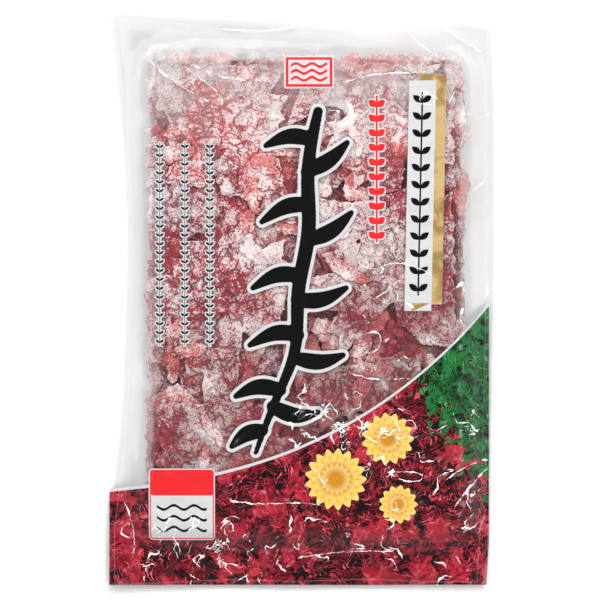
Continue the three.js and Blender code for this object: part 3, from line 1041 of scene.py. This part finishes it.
GRAINS_TRIED = 24000
GRAIN_SIZES = (0.32, 0.8)
grains = strewn("salt_grains", GRAINS_TRIED, 41)

# %% [markdown]
# ## The finish of salted seaweed
# Salted tosaka is seen as three things at once: coral to maroon tissue, dark curled edges, and
# a crust of salt in wisps and specks. The salt field of the mesh says where salt lies thick, and
# fine noise breaks its edge up into grains and wisps. Folds in the tissue come from slow noise.
# The head of the block is dry: pale tissue, white salt. Towards its foot, above all on the right,
# tissue and salt are darkened by painted shade.

# %% Seaweed finishes
WHITE_SALT = (0.84, 0.785, 0.785)
SHADED_SALT = (0.21, 0.145, 0.125)
SHADED_TISSUE = (0.11, 0.016, 0.018)
THICK_SALT = (0.66, 0.84)
DARK_LINE = (0.2, 0.008, 0.022)
HAIR_LINE = (0.3, 0.016, 0.038)
PALE_STREAK = (0.78, 0.42, 0.36)
DRIED_OUT = (0.82, 0.3, 0.28)
TISSUES = {
    "coral_seaweed": ((0.72, 0.2, 0.16), (0.48, 0.035, 0.05), 0.52),
    "crimson_seaweed": ((0.64, 0.08, 0.1), (0.34, 0.018, 0.034), 0.52),
    "maroon_seaweed": ((0.52, 0.05, 0.068), (0.2, 0.009, 0.02), 0.52),
    "frill_edges": ((0.46, 0.025, 0.05), (0.2, 0.008, 0.022), 0.88),
    "young_blades": ((0.7, 0.19, 0.15), (0.55, 0.08, 0.08), 0.7),
    "caked_salt": ((0.5, 0.08, 0.09), (0.3, 0.015, 0.03), 0.36),
}


def curls(finish, place, size, width, warp):
    """Thin winding lines: where noise passes through its middle value."""
    return abs(finish.noise(place, size, 2, warp) - 0.5).ramp(width, width * 0.3)


def painted_shade_towards_foot(x, y):
    """Painted shade: 0 at the head and left of the block, 1 at its foot on the right."""
    return (x * 0.6 - y + 60).ramp(-40, 185)


def salt_tone(finish, x, y):
    """Greyer under the painted shade towards the foot, but white in the middle of a thick clump."""
    salt = finish.node("ShaderNodeAttribute", {"attribute_name": "salt"}, out="Fac")
    thin = 1 - salt.ramp(*THICK_SALT) * 0.66
    return finish.blend(painted_shade_towards_foot(x, y) * thin, WHITE_SALT, SHADED_SALT)


def salt_cover(finish, place, level):
    """1 where salt hides the tissue. A higher level leaves less salt."""
    salt = finish.node("ShaderNodeAttribute", {"attribute_name": "salt"}, out="Fac")
    specks = finish.noise(place, 0.8, 4, 0.5)
    wisps = finish.noise(place, 2.6, 4, 2.2)
    cover = salt + (specks - 0.5) * 1.1 + (wisps - 0.5) * 1.3
    return cover.ramp(level - 0.13, level + 0.13)


def streaked(finish, tissue):
    """Pale streaks along a young blade, which carries its own lengthwise measure."""
    along = finish.node("ShaderNodeAttribute", {"attribute_name": "along"}, out="Fac")
    across = finish.node("ShaderNodeAttribute", {"attribute_name": "across"}, out="Fac")
    streak = finish.noise(finish.joined(along * 0.25, across * 1.6), 1.5, 3, 0.4)
    return finish.blend(streak.ramp(0.5, 0.72) * 0.7, tissue, PALE_STREAK)


def seaweed(name, bright, deep, level):
    finish = Finish(name)
    place, x, y, z = finish.place()
    tissue = finish.blend(finish.noise(place, 6, 3, 1.2).ramp(0.4, 0.62), bright, deep)
    tissue = finish.blend(curls(finish, place, 3.4, 0.035, 1.3), tissue, DARK_LINE)
    if name == "young_blades":
        tissue = streaked(finish, tissue)
    tissue = finish.blend((y - 50).ramp(0, 70) * 0.45, tissue, DRIED_OUT)
    # Painted shade: the tissue darkens towards the foot and the right of the block.
    tissue = finish.blend(painted_shade_towards_foot(x, y) * 0.7, tissue, SHADED_TISSUE)
    frost = salt_cover(finish, place, level)
    color = finish.blend(frost * 0.93, tissue, salt_tone(finish, x, y))
    shown = finish.noise(finish.moved(place, (20, 60, 0)), 15, 2, 0.6).ramp(0.34, 0.54)
    hairs = curls(finish, place, 6, 0.026, 2.4).most(curls(finish, place, 2.8, 0.036, 1.5))
    color = finish.blend(hairs * shown * 0.8, color, HAIR_LINE)
    bump = finish.node(
        "ShaderNodeBump", {}, {"Strength": 0.3, "Distance": 0.2 * MM, "Height": frost}
    )
    values = {"Base Color": color, "Roughness": frost * 0.3 + 0.5, "Normal": bump}
    return finish.out(finish.node("ShaderNodeBsdfPrincipled", {}, values))


SEAWEED = {name: seaweed(name, *tones) for name, tones in TISSUES.items()}


def salt_finish():
    finish = Finish("salt")
    place, x, y, z = finish.place()
    lumps = finish.noise(place, 1.6, 3).ramp(0.35, 0.65)
    tone = finish.blend(lumps * 0.35, salt_tone(finish, x, y), (0.4, 0.26, 0.28))
    values = {"Base Color": tone, "Roughness": 0.55}
    return finish.out(finish.node("ShaderNodeBsdfPrincipled", {}, values))


SALT = salt_finish()

# %% Each piece gets its body and its finish, and the imported node that it stands in for is hidden
SLOTS = {part["node"]: part["material_slot"] for part in frame["record"]["subparts"]}


def finished(piece, material, slot, *nodes):
    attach(piece, "root")
    if nodes:
        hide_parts(*nodes)
    piece.data.materials.clear()
    piece.data.materials.append(material)


for node, piece in plants.items():
    finished(piece, SEAWEED[SLOTS[node]], SLOTS[node], node)
for node, piece in frills.items():
    finished(piece, SEAWEED["frill_edges"], SLOTS[node])
finished(blades, SEAWEED["young_blades"], "coral_seaweed")
finished(grains, SALT, "salt")
for node, piece in drifts.items():
    finished(piece, SEAWEED["caked_salt"], "salt", node)
print("finished:", len(plants) + len(frills) + len(drifts) + 2, "pieces of the contents")

# %% [markdown]
# ## The printed film
# The real film is clear where nothing is printed. Its ink is opaque, and its gloss lies over
# both. So one Principled shader holds the ink and the gloss, and it is mixed with a Transparent
# one: the mix is a few hundredths on the clear film, just what film mirrors, and nearly one on
# ink. The design is drawn from plain shapes. Each is a signed distance in mm, below 0 inside.

# %% Shapes to print with


def edge(distance, soft=0.14):
    """The ink mask of a shape: 1 inside it, 0 outside."""
    return distance.ramp(soft, -soft)


def box_shape(x, y, centre, half, corner=0.0):
    out_x = abs(x - centre[0]) - (half[0] - corner)
    out_y = abs(y - centre[1]) - (half[1] - corner)
    if not corner:
        return out_x.most(out_y)
    far = (out_x.most(0) ** 2 + out_y.most(0) ** 2) ** 0.5
    return far + out_x.most(out_y).least(0) - corner


def leafy_column(off, y, low, high, pitch, length, width):
    """Pairs of slanting leaves up a stem. off is the distance from the column's middle."""
    along = (((y - low) / pitch).math("FRACT") - 0.25) * pitch
    slant_cos, slant_sin = math.cos(SLANT), math.sin(SLANT)
    out = off * slant_cos + along * slant_sin
    across = abs(along * slant_cos - off * slant_sin)
    middle = (out - length / 2) / (length / 2)
    leaf = across - (1 - middle * middle) * width
    stem = off - width * 0.28
    return leaf.least(stem).most(abs(y - (low + high) / 2) - (high - low) / 2)


def blossom(x, y, centre, radius, petals, start):
    """A flower's shape as a distance, the wave of its petals, and how far its middle is."""
    dx, dy = x - centre[0], y - centre[1]
    far = (dx * dx + dy * dy) ** 0.5
    wave = (dy.math("ARCTAN2", dx) * petals + start).math("COSINE")
    return far - (wave * 0.08 + 0.92) * radius, wave, far


SLANT = math.radians(38)
print("leaves slant by", round(math.degrees(SLANT)), "degrees")

# %% [markdown]
# The big brush-drawn sprig has strokes in all directions, which would take many nodes. Its
# signed distance is reckoned in Python and kept on the film's own points, as an attribute.

# %% The brush-drawn sprig
SPRIG_STEM = [(318, 112), (305, 170), (312, 232), (295, 292), (300, 348), (274, 402), (256, 452)]
SPRIG_BRANCHES = [
    [(312, 140), (290, 134), (266, 146)],
    [(306, 172), (330, 162), (347, 143)],
    [(309, 205), (286, 204), (262, 222)],
    [(311, 240), (333, 232), (351, 213)],
    [(300, 276), (278, 272), (253, 288)],
    [(296, 300), (322, 302), (346, 288)],
    [(299, 335), (276, 330), (250, 345)],
    [(296, 358), (320, 364), (343, 355)],
    [(281, 390), (258, 384), (236, 396)],
    [(272, 406), (296, 418), (318, 412)],
    [(263, 430), (246, 432), (232, 446)],
]
RIM_SAMPLES = 260
STEM_HALF = 3.5
BRANCH_HALF = 3.9
SPRIG_OUTLINE = 1.7


def curved(points, count=14):
    """A smooth run through three or more points."""
    at = np.linspace(0, len(points) - 1, count * (len(points) - 1))
    run = np.stack([np.interp(at, range(len(points)), [p[axis] for p in points]) for axis in (0, 1)])
    for _ in range(count * 4):
        run[:, 1:-1] = (run[:, :-2] + 2 * run[:, 1:-1] + run[:, 2:]) / 4
    return run.T


def crease_lines(places, runs):
    """How far each place is from the nearest run, in mm, above 0 on its left, below on its right."""
    best = np.full(len(places), 99.0)
    for run in runs:
        for start, end in zip(run[:-1], run[1:]):
            way = (end - start) / np.linalg.norm(end - start)
            off = places - start
            along = np.clip(off @ way, 0, np.linalg.norm(end - start))
            far = np.hypot(*(off - along[:, None] * way).T)
            left = np.where(way[0] * off[:, 1] - way[1] * off[:, 0] >= 0, 1, -1)
            best = np.where(far < np.abs(best), far * left, best)
    return best


def stroke_distance(places, points, half):
    """How far each place is outside a stroke that swells in its middle and thins at its end."""
    run = curved([np.array(from_pixel(*p)) / MM for p in points])
    share = np.linspace(0, 1, len(run))
    halves = half * (0.72 + 0.5 * np.sin(math.pi * share ** 0.8) - 0.35 * share)
    best = np.full(len(places), 99.0)
    for spot, reach in zip(run, halves):
        best = np.minimum(best, np.hypot(*(places - spot).T) - reach)
    return best


places = points_of(film_front)[:, :2] / MM
sprig = stroke_distance(places, SPRIG_STEM, STEM_HALF)
for branch in SPRIG_BRANCHES:
    sprig = np.minimum(sprig, stroke_distance(places, branch, BRANCH_HALF))
mark_points(film_front, "sprig", sprig)
traced = [curved([np.array(from_pixel(*p)) / MM for p in line], 5) for line in CREASES.values()]
crease = crease_lines(places, traced + [run / MM for run in KINK_RUNS])
mark_points(film_front, "crease", crease)
mark_points(film_front, "crease_off", np.abs(crease))
outline = np.concatenate([evenly(side, RIM_SAMPLES) for side in front_sides.values()]) / MM
rim = np.full(len(places), 99.0)
for spot in outline:
    rim = np.minimum(rim, np.hypot(*(places - spot).T))
mark_points(film_front, "rim", rim)
print("sprig strokes:", 1 + len(SPRIG_BRANCHES), "and crease lines:", len(CREASES))

# %% The panel's edge
PANEL_EDGE = [
    (-98.8, -98.8), (-79.6, -97.2), (-44.2, -91), (0, -76.4), (20.8, -65), (41.6, -53.6),
    (57.2, -44.2), (72.8, -29.6), (84.8, -17.2), (98.8, -1.6),
]
panel_curve = np.polyfit(*zip(*PANEL_EDGE), 3)


def panel_shape(x, y):
    """Positive inside the panel, in mm."""
    height = 0
    for factor in panel_curve:
        height = height * x + float(factor)
    inside = height - y
    inside = inside.least(x + 99.4).least(98.6 - x)
    return inside.least(y + 148.6), height - y


# %% Colours of the print, and of the painted glints and glare on the film
INK = {
    "black": (0.003, 0.003, 0.003),
    "white": (0.5, 0.5, 0.505),
    "glint": (0.95, 0.95, 0.95),
    "rim": (0.45, 0.44, 0.44),
    "haze_and_glare": (0.93, 0.84, 0.84),
    "red": (0.62, 0.02, 0.024),
    "gold": (0.46, 0.32, 0.14),
    "gold_dark": (0.27, 0.17, 0.055),
    "night": (0.008, 0.004, 0.005),
    "rose": (0.075, 0.005, 0.01),
    "deep": (0.18, 0.008, 0.017),
    "crimson": (0.3, 0.013, 0.028),
    "scarlet": (0.44, 0.03, 0.042),
    "pink": (0.58, 0.12, 0.15),
    "green_dark": (0.004, 0.03, 0.009),
    "green": (0.012, 0.12, 0.03),
    "green_light": (0.04, 0.23, 0.055),
    "yellow": (0.76, 0.44, 0.025),
    "cream": (0.72, 0.6, 0.25),
    "ochre": (0.5, 0.2, 0.012),
    "shade": (0.34, 0.13, 0.01),
}

# %% [markdown]
# The panel at the foot shows a heap of red seaweed on black, green weed at its right and three
# yellow chrysanthemums, the flowers that such seaweed is served with. Broad blades are the cells
# of a warped Voronoi pattern: each cell has its own tone, and noise frays the gap between two
# cells into teeth. Strands are the stripes of a wave pattern that wander a lot.

# %% The picture in the panel
BLOSSOMS = [((18.5, -93), 16, 17), ((45.5, -72), 13.5, 15), ((51, -106), 10, 13)]
BLADE_CELL = 20
TEETH = 6


def warped(finish, flat, size, reach, shift=(0, 0, 0)):
    """The place pushed about by noise: lumps of this size push it this far."""
    push = finish.noise(finish.moved(flat, shift), size, 2, 0.3, out="Color")
    values = {0: push, 1: (reach, reach, 0), 2: flat}
    return finish.node("ShaderNodeVectorMath", {"operation": "MULTIPLY_ADD"}, values)


def strands(finish, flat, direction, period, least, shift=(0, 0, 0)):
    """Strands side by side that wander, swell and break off: 1 on a strand."""
    spot = warped(finish, warped(finish, flat, 26, 70, shift), 6, 9, shift)
    values = {"Vector": spot, "Scale": 0.314 / period, "Distortion": 2, "Detail Scale": 2}
    stripe = finish.node("ShaderNodeTexWave", {"bands_direction": direction}, values, out="Fac")
    thin = (finish.noise(finish.moved(flat, shift), 7, 3, 0.6) - 0.5) * 1.5
    return (stripe + thin).ramp(least, least + 0.14)


def heap_of_blades(finish, flat, size, shift):
    """A cell pattern of frayed blades: where there is blade, its tone, and how folded it is."""
    spot = finish.moved(warped(finish, flat, 12, 26, shift), shift)
    settings = {"voronoi_dimensions": "2D", "feature": "DISTANCE_TO_EDGE"}
    values = {"Vector": spot, "Scale": 1 / size}
    inward = finish.node("ShaderNodeTexVoronoi", settings, values, out="Distance") * size
    tone = finish.node("ShaderNodeTexVoronoi", {"voronoi_dimensions": "2D"}, values, out="Color")
    teeth = (finish.noise(flat, 2.2, 2, 0.8) - 0.5) * TEETH
    fold = finish.noise(finish.moved(spot, (9, 0, 0)), 7, 2, 1.2)
    return (inward - 2.9 + teeth).ramp(0, 0.5), tone * 1.0, fold


def panel_picture(finish, x, y):
    flat = finish.joined(x, y)
    aside = finish.moved(flat, (31, 17, 0))
    color = finish.blend(finish.noise(flat, 7, 3, 0.8).ramp(0.5, 0.66), INK["night"], INK["rose"])
    color = finish.blend(strands(finish, flat, "Y", 3.2, 0.72), color, INK["deep"])
    for size, shift, least in ((BLADE_CELL, (0, 0, 0), 0.41), (BLADE_CELL * 0.7, (57, 31, 0), 0.62)):
        blade, tone, fold = heap_of_blades(finish, flat, size, shift)
        own = finish.blend(tone.ramp(0.38, 0.62), INK["deep"], INK["crimson"])
        own = finish.blend(fold.ramp(0.48, 0.36) * 0.75, own, INK["rose"])
        own = finish.blend(fold.ramp(0.56, 0.7) * 0.8, own, INK["scarlet"])
        own = finish.blend(abs(fold - 0.58).ramp(0.016, 0.004) * 0.7, own, INK["pink"])
        color = finish.blend(blade * tone.ramp(least, least + 0.04), color, own)
    lit = finish.blend(finish.noise(aside, 4, 2).ramp(0.4, 0.62), INK["crimson"], INK["pink"])
    color = finish.blend(strands(finish, flat, "X", 3.4, 0.94, (40, 9, 0)), color, lit)
    color = finish.blend(strands(finish, flat, "Y", 3, 1.02, (11, 70, 0)), color, INK["scarlet"])
    weed = finish.noise(flat, 9, 4, 1.6)
    green = (x * 0.8 + y * 0.55 - 22 + (weed - 0.5) * 60).ramp(0, 3)
    leaf = finish.blend(weed.ramp(0.42, 0.6), INK["green_dark"], INK["green"])
    leaf = finish.blend(finish.noise(aside, 6, 3, 1.0).ramp(0.5, 0.58), leaf, INK["night"])
    leaf = finish.blend(strands(finish, flat, "X", 2.4, 0.75, (5, 5, 0)), leaf, INK["green"])
    leaf = finish.blend(strands(finish, flat, "X", 2, 0.95, (60, 2, 0)), leaf, INK["green_light"])
    color = finish.blend(green, color, leaf)
    for centre, radius, petals in BLOSSOMS:
        for share, start in ((1, 0), (0.76, math.pi), (0.5, 0)):
            shape, wave, far = blossom(x, y, centre, radius * share, petals, start)
            lit = finish.blend((far / radius).ramp(0.25, 1.0), INK["ochre"], INK["yellow"])
            petal = finish.blend(wave.ramp(-0.98, -0.3), INK["shade"], lit)
            petal = finish.blend((-shape).ramp(radius * 0.3, 0.2) * 0.55, petal, INK["cream"])
            color = finish.blend(edge(shape, 0.25), color, petal)
        color = finish.blend(edge(far - radius * 0.16, 1.2), color, INK["ochre"])
    return color


# %% [markdown]
# The rest of the print: a seal at the head, a white strip backed with gold, a red leafy column,
# three small black ones and a label box. Each stands on its own white outline or ground. Such a
# packet carries words there. These stay out, and plain leaf and wave motifs fill their places.

# %% The print and the film together
CLEAR_MIRRORS = 0.065
INK_HIDES = 0.995
INK_GLOSS = 0.25
GLINT_WIDTH = 0.2
GLINT_SWELL = 0.75
GLINT_JITTER = 1.6
SEAL_LINE = 5
SHOULDER, SHOULDER_PAINTED_GLARE = 16, 0.26
VEIL, VEIL_FROM = 0.48, 72
SEAL_PLACE, SEAL_HALF = (4.7, 118.3), (13, 8.6)
LABEL_PLACE, LABEL_HALF = (-61.3, -106.1), (17.2, 18.7)
BAND_PLACE, BAND_HALF = (-61.3, -94.9), (16.4, 6.5)
STRIP_TOP, STRIP_FOOT = 113.9, -5.7
SMALL_COLUMNS = (-79.3, 13, 3)
TIDE_PLACE, TIDE_HALF, TIDE_PITCH = (-61.3, -113.2), (13, 7.8), 5.6


class Print:
    """Layers of ink on a finish: the colour of the uppermost one, and where there is any."""

    def __init__(self, finish):
        self.finish = finish
        self.color = INK["white"]
        self.ink = None

    def lay(self, mask, new_color):
        self.color = self.finish.blend(mask, self.color, new_color)
        self.ink = mask if self.ink is None else self.ink.most(mask)


def print_panel(page, place, x, y):
    """The picture panel, its white edge and the label box on it."""
    inside, above = panel_shape(x, y)
    page.lay(edge(-inside), panel_picture(page.finish, x, y))
    page.lay(edge(abs(above) - 0.8) * edge(-(inside + 0.8)), INK["white"])
    label = box_shape(x, y, LABEL_PLACE, LABEL_HALF, 2.2)
    band = box_shape(x, y, BAND_PLACE, BAND_HALF, 1.6)
    wave = (x * 0.6).math("SINE") * 1.1 + y - TIDE_PLACE[1]
    tide = abs((wave / TIDE_PITCH + 0.5).math("FRACT") - 0.5) * TIDE_PITCH
    tide_box = box_shape(x, y, TIDE_PLACE, TIDE_HALF)
    page.lay(edge(label), INK["white"])
    page.lay(edge(abs(label + 0.9) - 0.3), INK["red"])
    page.lay(edge(band), INK["red"])
    page.lay(edge(tide - 0.7) * edge(tide_box), INK["black"])
    print_sprig(page, place, x, y)


def print_sprig(page, place, x, y):
    sprig = page.finish.node("ShaderNodeAttribute", {"attribute_name": "sprig"}, out="Fac")
    page.lay(edge(sprig - SPRIG_OUTLINE), INK["white"])
    page.lay(edge(sprig), INK["black"])


def print_small_columns(page, place, x, y):
    start, pitch, count = SMALL_COLUMNS
    folded = abs(((x - start) / pitch).math("FRACT") - 0.5) * pitch
    small = leafy_column(folded, y, -23.4, 81.6, 4.6, 2.7, 0.62)
    small = small.most(abs(x - start - pitch * count / 2) - pitch * count / 2)
    page.lay(edge(small - 0.75, 0.3), INK["white"])
    page.lay(edge(small, 0.2), INK["black"])


def print_strip(page, place, x, y):
    """The white strip with gold behind it, and the red leafy column beside it."""
    lean = x - y * 0.0217 - 61.2
    middle, half = (STRIP_TOP + STRIP_FOOT) / 2, (STRIP_TOP - STRIP_FOOT) / 2
    sheen = page.finish.noise(place, 9, 2, 0.5).ramp(0.4, 0.62)
    gold = page.finish.blend(sheen, INK["gold_dark"], INK["gold"])
    page.lay(edge(box_shape(lean, y, (5.4, middle + 3.4), (7, half))), gold)
    page.lay(edge(box_shape(lean, y, (0, middle), (7, half))), INK["white"])
    fold = (-lean - 3.2).most(y + 1.6).most((lean + 3) * 0.45 - 5.9 - y)
    page.lay(edge(fold), gold)
    marks = leafy_column(abs(lean), y, STRIP_FOOT + 8, STRIP_TOP - 6, 8.9, 6.2, 1.6)
    page.lay(edge(marks), INK["black"])
    column = leafy_column(abs(x - 39.8), y, 30, 106, 7.6, 5.4, 1.8)
    page.lay(edge(column - 0.9), INK["white"])
    page.lay(edge(column), INK["red"])


def print_seal(page, place, x, y):
    seal = box_shape(x, y, SEAL_PLACE, SEAL_HALF)
    waves = ((y + (x * 0.75).math("SINE") * 0.9 - 118.3) / 3.6 + 0.5).math("FRACT") - 0.5
    page.lay(edge(seal), INK["white"])
    page.lay(edge(abs(seal + 1.6) - 0.7), INK["red"])
    page.lay(edge(abs(waves) * 3.6 - 0.75) * edge(seal + 3.6), INK["red"])


def film_finish(name, layer=None, mirrors=CLEAR_MIRRORS, creases=True):
    """Clear film, with a layer of print or none, mirroring a few hundredths of the light."""
    finish = Finish(name)
    place, x, y, z = finish.place()
    crinkle = finish.noise(place, 4, 3, 0.8)
    bump = finish.node(
        "ShaderNodeBump", {}, {"Strength": 0.25, "Distance": 0.25 * MM, "Height": crinkle}
    )
    page = Print(finish)
    if creases:
        rim = finish.node("ShaderNodeAttribute", {"attribute_name": "rim"}, out="Fac")
        veil = (y - VEIL_FROM).ramp(0, 40) * finish.noise(place, 12, 3, 0.8).ramp(0.2, 0.65) * VEIL
        page.lay(veil * (rim - 14).ramp(0, 6) * rim.ramp(60, 30), INK["haze_and_glare"])
        # Painted glare: a pale band along the block's shoulders, which also lightens the shadow that
        # the block casts beside it.
        page.lay(abs(rim - SHOULDER).ramp(7, 0) * SHOULDER_PAINTED_GLARE, INK["haze_and_glare"])
    if layer:
        layer(page, place, x, y)
    if creases:
        page.lay(rim.ramp(0.8, 0.3) * 0.3, INK["rim"])
        page.lay(abs(rim - SEAL_LINE).ramp(0.5, 0.1) * 0.12, INK["rim"])
        # Painted glints: thin white highlights laid as ink along the crease runs. They swell, thin out
        # and break off, and do not come from the lamps.
        line = finish.node("ShaderNodeAttribute", {"attribute_name": "crease"}, out="Fac")
        line = abs(line + (crinkle - 0.5) * GLINT_JITTER)
        off = finish.node("ShaderNodeAttribute", {"attribute_name": "crease_off"}, out="Fac")
        width = finish.noise(place, 5, 3, 0.6).ramp(0.5, 0.75) * GLINT_SWELL + GLINT_WIDTH
        broken = finish.noise(place, 5, 3, 1.0).ramp(0.38, 0.5)
        page.lay((line / width).ramp(1, 0.4) * off.ramp(1.7, 1.1) * broken * 0.95, INK["glint"])
    values = {"Base Color": (1, 1, 1, 1), "Roughness": 0.12, "Metallic": 1, "Normal": bump}
    share = mirrors
    if page.ink is not None:
        values["Base Color"] = finish.blend(page.ink, (1.0, 1.0, 1.0), page.color)
        values["Metallic"] = 1 - page.ink
        values["Roughness"] = page.ink * 0.1 + 0.12
        share = page.ink * (INK_HIDES - mirrors) + mirrors
    values["Specular IOR Level"] = INK_GLOSS
    gloss = finish.node("ShaderNodeBsdfPrincipled", {}, values)
    clear = finish.node("ShaderNodeBsdfTransparent", {}, {"Color": (0.989, 0.987, 0.986, 1)})
    return finish.out(finish.node("ShaderNodeMixShader", {}, {0: share, 1: clear, 2: gloss}))


# %% Each printed zone of the film has its own finish
ZONES = {
    "print_seal": (print_seal, (-10, 108, 20, 129)),
    "print_strip": (print_strip, (32, -8, 76, 120)),
    "print_small_columns": (print_small_columns, (-82, -26, -39.5, 84)),
    "print_sprig": (print_sprig, (-45, -97, 31.5, 105)),
}
PANEL_ZONE = 3


def zone_of(px, py):
    """The number of the finish of a face whose middle is at this place, in mm."""
    beside_label = abs(px - LABEL_PLACE[0]) - LABEL_HALF[0]
    above_label = abs(py - LABEL_PLACE[1]) - LABEL_HALF[1]
    if py < np.polyval(panel_curve, px) + PANEL_ZONE or max(beside_label, above_label) < 2:
        return len(ZONES) + 2
    for number, (_, (low_x, low_y, high_x, high_y)) in enumerate(ZONES.values(), start=2):
        if low_x < px < high_x and low_y < py < high_y:
            return number
    return 0


finished(film_front, film_finish("printed_film"), "printed_film", "film_front")
film_front.data.materials.append(film_finish("inner_film", None, 0.01, False))
for name, (layer, _) in ZONES.items():
    film_front.data.materials.append(film_finish(name, layer))
film_front.data.materials.append(film_finish("print_panel", print_panel))
for face in film_front.data.polygons:
    outer = face.normal.z > 0.2
    face.material_index = zone_of(face.center.x / MM, face.center.y / MM) if outer else 1
finished(film_back, film_finish("clear_film", None, 0.02, False), "clear_film", "film_back")
for material in film_front.data.materials:
    print(material.name, "has", len(material.node_tree.nodes), "nodes")

# %% The floor
floor_finish = Finish("floor")
floor_color = floor_finish.node(
    "ShaderNodeBsdfPrincipled", {}, {"Base Color": (0.9, 0.9, 0.9, 1), "Roughness": 0.6}
)
floor.data.materials.append(floor_finish.out(floor_color))

# %% How many triangles the scene has
def triangle_count(piece):
    return sum(len(face.vertices) - 2 for face in piece.data.polygons)


added = [o for o in bpy.context.scene.objects if o.type == "MESH" and o.name not in frame["nodes"]]
counts = {piece.name: triangle_count(piece) for piece in added}
largest = max(counts, key=counts.get)
print("triangles added:", sum(counts.values()), "most in", largest, counts[largest])
